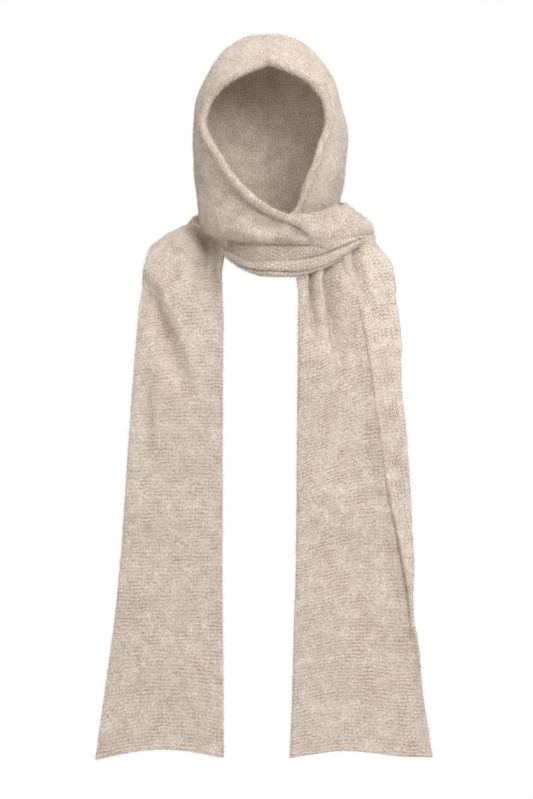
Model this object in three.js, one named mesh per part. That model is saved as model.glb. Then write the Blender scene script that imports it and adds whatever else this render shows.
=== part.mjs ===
// A hooded scarf in brushed alpaca knit, wrapped once round the neck as it is worn.
// Millimetres, +Z up. The face opening looks along -Y, and +X is the viewer's right.
// The origin is the inside of the crown, where the top of a head touches it.
//
// The real piece is two long knitted strips, sewn together over the crown and down the back
// of the head. Each strip is half of the hood and then a long end. The viewer's left strip
// crosses the throat over the other one, is gathered into folds, lies over the right shoulder
// and round the back of the neck, and hangs down on the left. The right strip goes down
// behind the folds and hangs on the right, with its outer edge turned over.
import * as THREE from "three";

// Driving dimensions.
const KNIT = 4; // thickness of the knit
const CLEARANCE = 0.5; // between layers that lie on each other
const SEAM_GAP = 0.3; // between pieces that are joined edge to edge
const HOOD_WIDTH = 210; // outside, ear to ear
const HOOD_DEPTH = 222; // outside, forehead to the back of the head
const CROWN_HEIGHT = 150; // from the crown down to the widest level
const SIDE_HEIGHT = 132; // from the widest level down to the crease under the chin
const CROWN_LEAN = 3; // of the crown to the viewer's left
const RIGHT_REACH = 136; // of the wrap, from the middle plane to the viewer's right
const FRONT_REACH = 106; // of the wrap, to the front
const FOLDS_HEIGHT = 37; // of the gathered folds at the throat
const FOLDS_SWELL = 6; // how far the folds stand out
const FOLDS_THICKNESS = 13; // of the gathered folds, front to back
const PANEL_SWELL = 5; // how far the crossing panel swells above the crease
const LEFT_DROP = 976; // from the origin down to the lowest corner of the left end
const RIGHT_DROP = 973; // the same for the right end
const LEFT_WIDTH = 173; // of the left end at its hem
const RIGHT_WIDTH = 193; // of the right end at its hem
const LEFT_INSET = 62; // from the middle plane to the inner corner of the left end
const RIGHT_INSET = 26; // the same for the right end
const END_FORWARD = 84; // how far in front of the origin the ends hang
const HEM_ARCH = 12; // rise of each hem between its corners
const PLEAT_DEPTH = 9; // of the pleats under the folds
const DENT_DEPTH = 6; // of the soft folds in the left end
const TURNBACK = 54; // width of the edge that is turned over, at its top
const TURN_RADIUS = 4.6; // of the bend in the turned-over edge
const EDGE_WIDTH = 11; // of the edge band round the face opening
const EDGE_SWELL = 0.8; // how much each face of an edge band stands out
const SELVEDGE_WIDTH = 8; // of the band along the inner edge of each end
const HEM_WIDTH = 8; // of the cast-off band along each hem
const SEAM_WIDTH = 4; // of the seam over the crown
const SEAM_HEIGHT = 1.6;

const HALF_WIDTH = (HOOD_WIDTH - KNIT) / 2;
const HALF_DEPTH = (HOOD_DEPTH - KNIT) / 2;
const TOP = KNIT / 2;
const DROP = CROWN_HEIGHT + SIDE_HEIGHT;
const QUARTER_TURN = Math.PI / 2;

const radians = (degrees) => (degrees * Math.PI) / 180;
const mix = (a, b, share) => a + (b - a) * share;
const clamp = (value, low, high) => Math.min(high, Math.max(low, value));
const bump = (share) => 4 * share * (1 - share);

function smoothstep(low, high, value) {
  const share = clamp((value - low) / (high - low), 0, 1);
  return share * share * (3 - 2 * share);
}

// A hollow line round a middle place, 1 deep at that place and 0 at its width from it.
function dent(place, middle, width) {
  const distance = clamp(Math.abs(place - middle) / width, 0, 1);
  return (1 + Math.cos(Math.PI * distance)) / 2;
}

// A smooth curve through the values at the given places, which never swings past them.
function curve(at, values) {
  const rise = at.slice(1).map((place, i) => (values[i + 1] - values[i]) / (place - at[i]));
  const slope = at.map((_, i) => {
    const before = rise[Math.max(i - 1, 0)];
    const after = rise[Math.min(i, rise.length - 1)];
    return before * after > 0 ? (2 * before * after) / (before + after) : 0;
  });
  return (where) => {
    const x = clamp(where, at[0], at[at.length - 1]);
    let i = 0;
    while (i < at.length - 2 && x > at[i + 1]) i++;
    const span = at[i + 1] - at[i];
    const t = (x - at[i]) / span;
    const square = t * t;
    const cube = square * t;
    return (
      (2 * cube - 3 * square + 1) * values[i] +
      (cube - 2 * square + t) * span * slope[i] +
      (3 * square - 2 * cube) * values[i + 1] +
      (cube - square) * span * slope[i + 1]
    );
  };
}

// The named columns of a table as curves over its first column.
function table(keys, rows) {
  const at = rows.map((row) => row[0]);
  return Object.fromEntries(
    keys.slice(1).map((key, i) => [key, curve(at, rows.map((row) => row[i + 1]))]),
  );
}

// Half sizes of the hood by level, as shares of its greatest half sizes. The level is 0 at
// the widest part and 1 at the crease. The last two columns carry the crossing panel out
// from the hood's right and front onto the wrap.
const leftForm = table(
  ["at", "left", "right", "front", "back", "toWrapSide", "toWrapFront"],
  [
    [0.0, 1.0, 1.0, 1.0, 1.0, 0.0, 0.0],
    [0.15, 0.985, 0.99, 1.0, 0.97, 0.0, 0.0],
    [0.35, 0.96, 0.965, 0.99, 0.92, 0.0, 0.1],
    [0.55, 0.925, 0.94, 0.98, 0.84, 0.3, 0.5],
    [0.7, 0.88, 0.93, 0.97, 0.8, 0.95, 1.0],
    [0.85, 0.81, 0.93, 0.97, 0.78, 1.0, 1.0],
    [1.0, 0.65, 0.93, 0.97, 0.76, 1.0, 1.0],
  ],
);
const rightForm = table(
  ["at", "left", "right", "front", "back"],
  [
    [0.0, 1.0, 1.0, 1.0, 1.0],
    [0.15, 0.98, 0.985, 0.995, 0.97],
    [0.35, 0.93, 0.955, 0.96, 0.92],
    [0.55, 0.86, 0.9, 0.9, 0.84],
    [0.7, 0.78, 0.84, 0.86, 0.8],
    [0.85, 0.7, 0.8, 0.84, 0.78],
    [1.0, 0.62, 0.78, 0.83, 0.76],
  ],
);

// How far the hood leans to the viewer's left at a drop from its top.
function leanAt(drop) {
  return CROWN_LEAN * clamp(1 - drop / CROWN_HEIGHT, 0, 1);
}

// A point of the hood's middle surface. The angle runs round the head from the front, and
// the turn goes down from the crown: 1 is the widest level.
function domePoint(form, angle, turn) {
  let level = 0;
  let round = 1;
  let drop = CROWN_HEIGHT;
  if (turn < 1) {
    round = Math.sin(turn * QUARTER_TURN);
    drop = CROWN_HEIGHT * (1 - Math.cos(turn * QUARTER_TURN));
  } else {
    drop = CROWN_HEIGHT * (1 + (turn - 1) * QUARTER_TURN);
    level = (drop - CROWN_HEIGHT) / SIDE_HEIGHT;
  }
  const sin = Math.sin(angle);
  const cos = Math.cos(angle);
  let right = form.right(level) * HALF_WIDTH;
  let front = form.front(level) * HALF_DEPTH;
  if (form.toWrapSide) {
    right = mix(right, RIGHT_REACH, form.toWrapSide(level));
    front = mix(front, FRONT_REACH, form.toWrapFront(level));
  }
  const side = sin < 0 ? form.left(level) * HALF_WIDTH : right;
  const depth = cos > 0 ? front : form.back(level) * HALF_DEPTH;
  return new THREE.Vector3(side * sin * round - leanAt(drop), -depth * cos * round, TOP - drop);
}

// The turn at which the hood has come down by a share of the whole drop to the crease.
function turnOf(share) {
  const drop = share * DROP;
  if (drop < CROWN_HEIGHT) return Math.acos(1 - drop / CROWN_HEIGHT) / QUARTER_TURN;
  return 1 + (drop / CROWN_HEIGHT - 1) / QUARTER_TURN;
}

// The two long edges of each half of the hood, from its end at the throat (0) up to the
// crown seam (1). Angles are degrees from the front, drops are shares of the whole drop.
// The back edge is the seam behind the head and then the lower edge round the neck.
const leftEdges = table(
  ["at", "frontAngle", "frontDrop", "backAngle", "backDrop"],
  [
    [0.0, 46, 0.968, 46, 0.984],
    [0.07, 34, 0.96, 33, 0.993],
    [0.14, 24.5, 0.926, 20, 1.0],
    [0.21, 14.5, 0.877, 6, 1.002],
    [0.28, 3.5, 0.833, -9, 1.0],
    [0.35, -9, 0.777, -26, 0.994],
    [0.42, -21, 0.71, -46, 0.984],
    [0.49, -32, 0.638, -74, 0.97],
    [0.56, -41, 0.562, -112, 0.93],
    [0.63, -51, 0.486, -150, 0.87],
    [0.68, -56, 0.42, -180, 0.82],
    [0.74, -54, 0.345, -180, 0.69],
    [0.81, -44, 0.272, -180, 0.53],
    [0.88, -31, 0.218, -180, 0.36],
    [0.94, -16, 0.18, -180, 0.21],
    [1.0, 0, 0.143, -180, 0.08],
  ],
);
const rightEdges = table(
  ["at", "frontAngle", "frontDrop", "backAngle", "backDrop"],
  [
    [0.0, -18, 0.925, -18, 0.97],
    [0.07, -8, 0.92, -7, 0.972],
    [0.14, 3, 0.905, 6, 0.975],
    [0.21, 13, 0.885, 22, 0.97],
    [0.28, 20.5, 0.83, 42, 0.962],
    [0.35, 24, 0.765, 62, 0.95],
    [0.42, 28, 0.69, 84, 0.935],
    [0.49, 33, 0.62, 108, 0.915],
    [0.56, 38, 0.545, 134, 0.885],
    [0.63, 44, 0.47, 160, 0.85],
    [0.68, 47.5, 0.415, 180, 0.82],
    [0.74, 47.5, 0.35, 180, 0.69],
    [0.81, 42, 0.275, 180, 0.53],
    [0.88, 31, 0.215, 180, 0.36],
    [0.94, 16, 0.172, 180, 0.21],
    [1.0, 0, 0.143, 180, 0.08],
  ],
);
// How the crossing panel hollows under its upper edge, swells and tucks in at the crease.
const panelSwell = table(
  ["at", "out"],
  [
    [0.0, 0.2],
    [0.1, 0.0],
    [0.27, -0.4],
    [0.45, -0.1],
    [0.64, 0.65],
    [0.82, 1.0],
    [0.94, 0.6],
    [1.0, 0.0],
  ],
);
const NAPE = 0.68; // the place along each half where its back edge leaves the seam
const THROAT = 0.45; // up to here the left half is the panel that crosses the throat

// A point of a half of the hood: along from the throat to the crown, across from the face
// opening to the back. Round the neck the cloth runs level, and it goes over the head.
function hoodPoint(form, edges, along, across) {
  const frontAngle = radians(edges.frontAngle(along));
  const backAngle = radians(edges.backAngle(along));
  const frontTurn = turnOf(edges.frontDrop(along));
  const backTurn = turnOf(edges.backDrop(along));
  const angle = mix(frontAngle, backAngle, across);
  const turn = mix(frontTurn, backTurn, across);
  const overX = mix(frontTurn * Math.sin(frontAngle), backTurn * Math.sin(backAngle), across);
  const overY = mix(-frontTurn * Math.cos(frontAngle), -backTurn * Math.cos(backAngle), across);
  const over = smoothstep(NAPE, 1, along);
  const x = mix(turn * Math.sin(angle), overX, over);
  const y = mix(-turn * Math.cos(angle), overY, over);
  return domePoint(form, Math.atan2(x, -y), Math.hypot(x, y));
}

function leftHoodPoint(along, across) {
  const point = hoodPoint(leftForm, leftEdges, along, across);
  const whole = smoothstep(0, THROAT, along) - smoothstep(THROAT, NAPE, along);
  const out = PANEL_SWELL * panelSwell.out(across) * whole;
  const reach = Math.hypot(point.x, point.y);
  return new THREE.Vector3(point.x * (1 + out / reach), point.y * (1 + out / reach), point.z);
}

function rightHoodPoint(along, across) {
  return hoodPoint(rightForm, rightEdges, along, across);
}

// The wrap's line round the neck and its levels, by angle from the front. Side and depth
// are shares of the wrap's reach, drops are shares of the whole drop to the crease, and the
// fold height and swell are shares of the folds at the throat. Tuck is how far the band over
// the crease lies back from the line, and slant how far its top leans in, as shares of the
// reach to the side.
const wrapForm = table(
  ["at", "side", "depth", "topDrop", "creaseDrop", "foldHeight", "swell", "tuck", "slant"],
  [
    [-78, 0.47, 1.0, 0.955, 0.99, 0.4, 0.7, 0.026, 0.005],
    [-60, 0.47, 1.0, 0.955, 0.992, 0.58, 1.0, 0.026, 0.005],
    [-30, 0.48, 1.0, 0.95, 1.004, 0.86, 1.0, 0.026, 0.005],
    [-8, 0.55, 1.0, 0.935, 1.01, 0.98, 1.0, 0.026, 0.005],
    [12, 0.9, 1.0, 0.868, 1.01, 1.0, 1.0, 0.026, 0.01],
    [30, 1.0, 1.0, 0.852, 1.002, 0.83, 1.0, 0.026, 0.03],
    [45, 1.0, 1.0, 0.822, 0.985, 0.6, 1.0, 0.024, 0.09],
    [60, 1.0, 1.0, 0.806, 0.966, 0.35, 0.9, 0.01, 0.16],
    [78, 1.0, 1.0, 0.798, 0.95, 0.22, 0.7, 0.0, 0.2],
    [100, 1.0, 0.98, 0.792, 0.944, 0.25, 0.5, 0.0, 0.19],
    [130, 1.0, 0.97, 0.785, 0.93, 0.35, 0.45, 0.0, 0.08],
    [160, 0.95, 0.97, 0.78, 0.91, 0.5, 0.4, 0.0, 0.015],
    [190, 0.82, 0.97, 0.785, 0.91, 0.55, 0.4, 0.0, 0.005],
    [214, 0.79, 0.97, 0.8, 0.93, 0.55, 0.2, 0.0, 0.005],
  ],
);
const WRAP_START = -78;
const WRAP_END = 214;
// The folds, from the crease down: how much of the folded height each takes, and how far
// it stands out.
const folds = [
  { height: 0.42, out: 1.0 },
  { height: 0.36, out: 0.9 },
  { height: 0.22, out: 0.6 },
];
// The face of each fold, which leans out and then turns under: how far down it each place
// is, and how far out.
const foldFace = [
  { down: 0.08, out: 0.35 },
  { down: 0.45, out: 0.85 },
  { down: 0.82, out: 1.0 },
  { down: 1.0, out: 0.15 },
];

function wrapLine(degrees) {
  const angle = radians(degrees);
  const side = RIGHT_REACH * wrapForm.side(degrees);
  const depth = FRONT_REACH * wrapForm.depth(degrees);
  return new THREE.Vector3(side * Math.sin(angle), -depth * Math.cos(angle), 0);
}

function wrapOut(degrees) {
  const ahead = wrapLine(degrees + 1).sub(wrapLine(degrees - 1)).normalize();
  return new THREE.Vector3(ahead.y, -ahead.x, 0);
}

// How far the wrap's inner face lies in from its line, and its lowest level.
function wrapInside(degrees) {
  return mix(KNIT, FOLDS_THICKNESS - FOLDS_SWELL, wrapForm.swell(degrees));
}

function wrapBottom(degrees) {
  return TOP - DROP * wrapForm.creaseDrop(degrees) - FOLDS_HEIGHT * wrapForm.foldHeight(degrees);
}

// The section of the wrap at an angle: how far each point lies out of the line, and its
// height, from the top of the band down over the folds and up again inside.
function wrapSection(degrees) {
  const top = TOP - DROP * wrapForm.topDrop(degrees);
  const crease = TOP - DROP * wrapForm.creaseDrop(degrees);
  const height = FOLDS_HEIGHT * wrapForm.foldHeight(degrees);
  const tuck = RIGHT_REACH * wrapForm.tuck(degrees);
  const slant = RIGHT_REACH * wrapForm.slant(degrees);
  const swell = FOLDS_SWELL * wrapForm.swell(degrees);
  const inner = wrapInside(degrees);
  const bandPlaces = [0, 0.12, 0.35, 0.65, 1];
  const bandOut = (place) => -tuck - slant * (1 - place - bump(place) / 2);
  const section = bandPlaces.map((place) => ({ out: bandOut(place), up: mix(top, crease, place) }));
  let level = crease;
  for (const fold of folds) {
    const size = fold.height * height;
    for (const place of foldFace) {
      section.push({ out: swell * fold.out * place.out, up: level - size * place.down });
    }
    level -= size;
  }
  section.push({ out: -inner * 0.7, up: level });
  section.push({ out: -inner, up: mix(level, crease, 0.3) });
  for (const place of bandPlaces.toReversed()) {
    const out = mix(bandOut(place) - KNIT, -inner, place * place);
    section.push({ out: Math.min(out, bandOut(place) - KNIT), up: mix(top, crease, place) });
  }
  return section;
}

function wrapRing(degrees) {
  const line = wrapLine(degrees);
  const out = wrapOut(degrees);
  return wrapSection(degrees).map(
    (place) => new THREE.Vector3(line.x + out.x * place.out, line.y + out.y * place.out, place.up),
  );
}

// The left end's two edges, from the back of the neck (0) over the shoulder to the hem (1).
// Inner and outer are the edges nearer to and farther from the neck. Sides are shares of
// the outer corner's distance from the middle plane, forwards are shares of how far in
// front the ends hang, and drops are shares of the whole drop to the hem.
const LEFT_REACH = LEFT_INSET + LEFT_WIDTH;
const leftEnd = table(
  ["at", "inSide", "inForward", "inDrop", "outSide", "outForward", "outDrop", "arch"],
  [
    [0.0, 0.27, -0.985, 0.232, 0.275, -1.03, 0.286, 0.04],
    [0.04, 0.375, -0.78, 0.235, 0.41, -0.92, 0.29, 0.08],
    [0.085, 0.435, -0.44, 0.241, 0.55, -0.68, 0.29, 0.12],
    [0.13, 0.43, -0.05, 0.25, 0.65, -0.28, 0.29, 0.15],
    [0.18, 0.395, 0.34, 0.265, 0.7, 0.12, 0.305, 0.15],
    [0.235, 0.32, 0.62, 0.288, 0.72, 0.48, 0.328, 0.12],
    [0.3, 0.278, 0.78, 0.33, 0.737, 0.72, 0.356, 0.08],
    [0.37, 0.268, 0.88, 0.392, 0.762, 0.82, 0.406, 0.04],
    [0.5, 0.27, 0.95, 0.508, 0.796, 0.86, 0.512, 0.02],
    [0.75, 0.272, 1.0, 0.755, 0.868, 0.88, 0.757, 0.0],
    [0.9, 0.266, 1.02, 0.902, 0.945, 0.88, 0.904, 0.0],
    [1.0, 0.264, 1.02, 0.996, 1.0, 0.88, 1.0, 0.0],
  ],
);
// Soft folds in the left end: where each runs across the end at its top and bottom, and
// between which places along it.
const leftDents = [
  { from: 0.17, to: 0.46, topAcross: 0.9, endAcross: 0.42, width: 0.2, depth: 1.0 },
  { from: 0.15, to: 0.4, topAcross: 0.32, endAcross: 0.16, width: 0.16, depth: 0.5 },
];

// A place straight on from the wrap's end, down its height, where the left end starts.
function pastWrap(along, down) {
  const out = wrapOut(WRAP_END);
  const ahead = new THREE.Vector3(-out.y, out.x, 0);
  const distance = CLEARANCE + along * LEFT_DROP;
  const place = wrapLine(WRAP_END).addScaledVector(out, -KNIT / 2).addScaledVector(ahead, distance);
  return place.setZ(mix(TOP - DROP * wrapForm.topDrop(WRAP_END), wrapBottom(WRAP_END), down));
}

function leftEndPoint(along, across) {
  const side = LEFT_REACH * mix(leftEnd.inSide(along), leftEnd.outSide(along), across);
  const forward = END_FORWARD * mix(leftEnd.inForward(along), leftEnd.outForward(along), across);
  const drop = LEFT_DROP * mix(leftEnd.inDrop(along), leftEnd.outDrop(along), across);
  const width = LEFT_REACH * (leftEnd.outSide(along) - leftEnd.inSide(along));
  const arch = width * leftEnd.arch(along) * bump(across);
  let back = 0;
  for (const fold of leftDents) {
    const place = (along - fold.from) / (fold.to - fold.from);
    const middle = mix(fold.topAcross, fold.endAcross, place);
    back += DENT_DEPTH * fold.depth * bump(clamp(place, 0, 1)) * dent(across, middle, fold.width);
  }
  const hem = HEM_ARCH * bump(across) * smoothstep(0.75, 1, along);
  const free = new THREE.Vector3(-side, -forward + back, -drop + arch + hem);
  return pastWrap(along, across).lerp(free, smoothstep(0, 0.06, along));
}

// The right end by its place along, from under the folds (0) to the hem (1). Sides are
// shares of the outer corner's distance from the middle plane, and the turnback a share of
// its width at the top. Curl is 1 where the edge is turned over and 0 where it lies flat.
const RIGHT_CORNER = RIGHT_INSET + RIGHT_WIDTH;
const rightEnd = table(
  ["at", "inSide", "outSide", "turnback", "curl"],
  [
    [0.0, 0.18, 0.66, 1.0, 1.0],
    [0.04, 0.17, 0.73, 0.95, 1.0],
    [0.12, 0.166, 0.785, 0.75, 1.0],
    [0.3, 0.161, 0.832, 0.58, 1.0],
    [0.48, 0.16, 0.868, 0.43, 1.0],
    [0.62, 0.155, 0.888, 0.17, 0.95],
    [0.72, 0.148, 0.905, 0.06, 0.55],
    [0.8, 0.142, 0.92, 0.06, 0.15],
    [0.88, 0.135, 0.945, 0.06, 0.0],
    [1.0, 0.12, 1.0, 0.06, 0.0],
  ],
);
const RIGHT_OUTER_FORWARD = 0.8; // of the outer edge, as a share of the inner edge's
const RIGHT_TOP_FROM = 16; // degrees from the front, under the folds
const RIGHT_TOP_TO = 88;
const PLEAT_END = 0.2; // the place along the right end where its pleats have faded
const pleats = [
  { topAcross: 0.2, endAcross: 0.15, width: 0.14, depth: 0.8 },
  { topAcross: 0.46, endAcross: 0.42, width: 0.16, depth: 1.0 },
  { topAcross: 0.78, endAcross: 0.7, width: 0.2, depth: 0.9 },
];

// The place under the folds, at an angle, where the right end starts.
function underFolds(degrees) {
  const place = wrapLine(degrees).addScaledVector(wrapOut(degrees), -wrapInside(degrees) / 2);
  return place.setZ(wrapBottom(degrees) - CLEARANCE);
}

// A point of the right end's base, before its pleats and its turned-over edge.
function rightBase(along, share) {
  const top = underFolds(mix(RIGHT_TOP_FROM, RIGHT_TOP_TO, share));
  const side = RIGHT_CORNER * mix(rightEnd.inSide(along), rightEnd.outSide(along), share);
  const hemDrop = RIGHT_DROP - HEM_ARCH * bump(clamp(share, 0, 1));
  const drop = mix(-top.z, hemDrop, along);
  const flatten = smoothstep(0, 0.36, along);
  const spread = smoothstep(0, 0.06, along);
  const forward = END_FORWARD * mix(1, RIGHT_OUTER_FORWARD, share);
  return new THREE.Vector3(mix(top.x, side, spread), mix(top.y, -forward, flatten), -drop);
}

// The shares of the right end's places that lie before the bend, and up to its end.
const BEND_FROM = 0.6;
const BEND_TO = 0.82;

// The right end's section by arc length: flat, then round the bend, then back in front.
function rightEndPoint(along, across) {
  const reach = RIGHT_CORNER * (rightEnd.outSide(along) - rightEnd.inSide(along));
  const curl = rightEnd.curl(along);
  const bend = Math.PI * TURN_RADIUS;
  const turnback = TURNBACK * rightEnd.turnback(along);
  const flat = reach - mix(bend + turnback, TURN_RADIUS, curl);
  let length = (flat * across) / BEND_FROM;
  if (across > BEND_TO) length = flat + bend + (turnback * (across - BEND_TO)) / (1 - BEND_TO);
  else if (across > BEND_FROM) length = flat + (bend * (across - BEND_FROM)) / (BEND_TO - BEND_FROM);
  let share = length / reach;
  let front = 0;
  if (length > flat) {
    const full = Math.max(Math.PI * curl, 1e-3);
    const turned = Math.min((length - flat) / bend, 1) * full;
    const radius = bend / full;
    const rest = Math.max(length - flat - bend, 0);
    share = (flat + radius * Math.sin(turned) + rest * Math.cos(full)) / reach;
    front = radius * (1 - Math.cos(turned)) + rest * Math.sin(full);
  }
  const point = rightBase(along, share);
  const beside = rightBase(along, share + 0.01).sub(rightBase(along, share - 0.01));
  const toward = new THREE.Vector3(beside.y, -beside.x, 0).normalize();
  const fade = 1 - smoothstep(0, PLEAT_END, along);
  let back = 0;
  for (const pleat of pleats) {
    const middle = mix(pleat.topAcross, pleat.endAcross, along / PLEAT_END);
    back += PLEAT_DEPTH * pleat.depth * fade * dent(share, middle, pleat.width);
  }
  return point.addScaledVector(toward, front - back);
}

// The seam over the crown and down the back of the head, by turns from the crown.
const SEAM_FROM = -turnOf(leftEdges.frontDrop(1));
const SEAM_TO = turnOf(leftEdges.backDrop(NAPE));

function seamLine(turn) {
  return domePoint(leftForm, turn < 0 ? 0 : Math.PI, Math.abs(turn));
}

function seamPoint(along, across) {
  const turn = mix(SEAM_FROM, SEAM_TO, along);
  const ahead = seamLine(turn + 0.01).sub(seamLine(turn - 0.01));
  const out = new THREE.Vector3(0, -ahead.z, ahead.y).normalize();
  const lift = KNIT / 2 + SEAM_GAP + SEAM_HEIGHT / 2;
  const point = seamLine(turn).addScaledVector(out, lift);
  point.x += SEAM_WIDTH * (across - 0.5);
  return point;
}

// The length of a surface across it at a place along it.
function widthOf(pointAt, along) {
  const steps = 30;
  let width = 0;
  for (let i = 0; i < steps; i++) {
    width += pointAt(along, i / steps).distanceTo(pointAt(along, (i + 1) / steps));
  }
  return width;
}

// The share of a surface's width that a band at its first edge takes, at a place along it.
function bandShare(pointAt, width, along) {
  return Math.min(width / widthOf(pointAt, along), 0.45);
}

// The share of a surface's length that a hem at its last edge takes.
function hemShare(pointAt) {
  const step = 0.01;
  return (HEM_WIDTH * step) / pointAt(1 - step, 0.5).distanceTo(pointAt(1, 0.5));
}

// Points of a stretch of a surface, with the surface's normals. The stretch gives the ends
// along it, and the ends across it at each place along.
function surfaceGrid(pointAt, stretch, lines, places) {
  const step = 1e-3;
  const grid = { points: [], normals: [], lines: lines + 1, places: places + 1 };
  for (let i = 0; i <= lines; i++) {
    const along = mix(...stretch.along, i / lines);
    const [first, last] = stretch.across(along);
    for (let j = 0; j <= places; j++) {
      const across = mix(first, last, j / places);
      const ahead = pointAt(Math.min(along + step, 1), across);
      const behind = pointAt(Math.max(along - step, 0), across);
      const right = pointAt(along, Math.min(across + step, 1));
      const left = pointAt(along, Math.max(across - step, 0));
      grid.points.push(pointAt(along, across));
      grid.normals.push(ahead.sub(behind).cross(right.sub(left)).normalize());
    }
  }
  return grid;
}

// Two faces between four vertex numbers, cut from the first to the third and looking one
// way or the other.
function quad(faces, [a, b, c, d], flipped) {
  if (flipped) faces.push(a, c, b, a, d, c);
  else faces.push(a, b, c, a, c, d);
}

// Faces between two lines of vertex numbers.
function ribbon(faces, first, second, flipped) {
  for (let i = 0; i < first.length - 1; i++) {
    quad(faces, [first[i], second[i], second[i + 1], first[i + 1]], flipped);
  }
}

function volumeOf(points, faces) {
  let volume = 0;
  for (let i = 0; i < faces.length; i += 3) {
    const [a, b, c] = faces.slice(i, i + 3).map((k) => points[k]);
    volume += a.dot(b.clone().cross(c)) / 6;
  }
  return volume;
}

// A closed mesh whose faces look out.
function geometryOf(points, faces) {
  if (volumeOf(points, faces) < 0) faces.reverse();
  const geometry = new THREE.BufferGeometry();
  const positions = points.flatMap((point) => [point.x, point.y, point.z]);
  geometry.setAttribute("position", new THREE.Float32BufferAttribute(positions, 3));
  geometry.setIndex(faces);
  geometry.computeVertexNormals();
  return geometry;
}

// A closed wall of cloth round a grid of its middle surface. Half gives half the thickness
// by the shares along and across the grid, and keep may hold its points to one side.
function clothWall(grid, half, keep = (point) => point) {
  const { points, normals, lines, places } = grid;
  const layer = (facing) =>
    points.map((point, k) => {
      const i = Math.floor(k / places);
      const size = facing * half(i / (lines - 1), (k - i * places) / (places - 1));
      return keep(point.clone().addScaledVector(normals[k], size));
    });
  const at = (i, j) => i * places + j;
  const under = (i, j) => lines * places + at(i, j);
  const across = Array.from({ length: places }, (_, j) => j);
  const along = Array.from({ length: lines }, (_, i) => i);
  const faces = [];
  for (let i = 0; i < lines - 1; i++) {
    for (let j = 0; j < places - 1; j++) {
      let around = [[i, j], [i + 1, j], [i + 1, j + 1], [i, j + 1]];
      const [a, b, c, d] = around.map(([line, place]) => points[at(line, place)]);
      if (b.distanceTo(d) < a.distanceTo(c)) around = [...around.slice(1), around[0]];
      quad(faces, around.map(([line, place]) => at(line, place)), false);
      quad(faces, around.map(([line, place]) => under(line, place)), true);
    }
  }
  const end = lines - 1;
  const side = places - 1;
  ribbon(faces, across.map((j) => at(0, j)), across.map((j) => under(0, j)), true);
  ribbon(faces, across.map((j) => at(end, j)), across.map((j) => under(end, j)), false);
  ribbon(faces, along.map((i) => at(i, 0)), along.map((i) => under(i, 0)), false);
  ribbon(faces, along.map((i) => at(i, side)), along.map((i) => under(i, side)), true);
  return geometryOf([...layer(1), ...layer(-1)], faces);
}

// A closed mesh through rings that all have the same number of points, with flat ends.
function loft(rings, section) {
  const size = section.length;
  const loop = Array.from({ length: size + 1 }, (_, k) => k % size);
  const faces = [];
  for (let i = 0; i < rings.length - 1; i++) {
    ribbon(faces, loop.map((k) => i * size + k), loop.map((k) => (i + 1) * size + k), false);
  }
  const last = (rings.length - 1) * size;
  const turning = Math.sign(THREE.ShapeUtils.area(section));
  for (const [a, b, c] of THREE.ShapeUtils.triangulateShape(section, [])) {
    const sign = Math.sign(THREE.ShapeUtils.area([section[a], section[b], section[c]]));
    if (sign === turning) faces.push(a, b, c, last + c, last + b, last + a);
    else faces.push(c, b, a, last + a, last + b, last + c);
  }
  return geometryOf(rings.flat(), faces);
}

const plainHalf = () => KNIT / 2;
const bandHalf = (along, across) => {
  const whole = smoothstep(0, 0.06, along) - smoothstep(0.94, 1, along);
  return KNIT / 2 + EDGE_SWELL * bump(across) * whole;
};
const hemHalf = (along) => KNIT / 2 + EDGE_SWELL * bump(along);

// The colour of undyed oat alpaca.
const OAT = new THREE.Color(0xcabcad);

function piece(name, geometry) {
  const material = new THREE.MeshStandardMaterial({ color: OAT, roughness: 0.95, metalness: 0 });
  const mesh = new THREE.Mesh(geometry, material);
  mesh.name = name;
  return mesh;
}

// A half of the hood, and the edge band that is knitted along its face opening. Over the
// face opening and behind it, each half keeps to its own side of the seam.
const NOTCH_LEVEL = TOP - DROP * leftEdges.frontDrop(0.9);

function hoodHalf(side, pointAt) {
  const band = (along) => bandShare(pointAt, EDGE_WIDTH, along);
  const gap = (along) => Math.min(SEAM_GAP / widthOf(pointAt, along), 0.05);
  const body = { along: [0, 1], across: (along) => [band(along) + gap(along), 1] };
  const edge = { along: [0, 1], across: (along) => [0, band(along)] };
  const keep = (point) => {
    const seam = -leanAt(TOP - point.z);
    const left = Math.min(point.x, seam - SEAM_GAP / 2);
    const right = Math.max(point.x, seam + SEAM_GAP / 2);
    return point.z > NOTCH_LEVEL || point.y > 0 ? point.setX(side === "left" ? left : right) : point;
  };
  return [
    piece(`hood_${side}`, clothWall(surfaceGrid(pointAt, body, 30, 13), plainHalf, keep)),
    piece(`hood_${side}_edge`, clothWall(surfaceGrid(pointAt, edge, 30, 2), bandHalf, keep)),
  ];
}

// A hanging end, with the band along its inner edge and the cast-off hem.
function hangingEnd(side, pointAt, lines, places) {
  const band = (along) => bandShare(pointAt, SELVEDGE_WIDTH, along);
  const gap = (along) => SEAM_GAP / widthOf(pointAt, along);
  const hem = hemShare(pointAt);
  const hemGap = (hem * SEAM_GAP) / HEM_WIDTH;
  const beyondBand = (along) => [band(along) + gap(along), 1];
  const body = { along: [0, 1 - hem - hemGap], across: beyondBand };
  const edge = { along: [0, 1], across: (along) => [0, band(along)] };
  const lowest = { along: [1 - hem, 1], across: beyondBand };
  return [
    piece(`${side}_end`, clothWall(surfaceGrid(pointAt, body, lines, places), plainHalf)),
    piece(`${side}_end_edge`, clothWall(surfaceGrid(pointAt, edge, lines, 2), bandHalf)),
    piece(`${side}_end_hem`, clothWall(surfaceGrid(pointAt, lowest, 2, places), hemHalf)),
  ];
}

function crownSeam() {
  const whole = { along: [0, 1], across: () => [0, 1] };
  return piece("crown_seam", clothWall(surfaceGrid(seamPoint, whole, 24, 2), () => SEAM_HEIGHT / 2));
}

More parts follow.
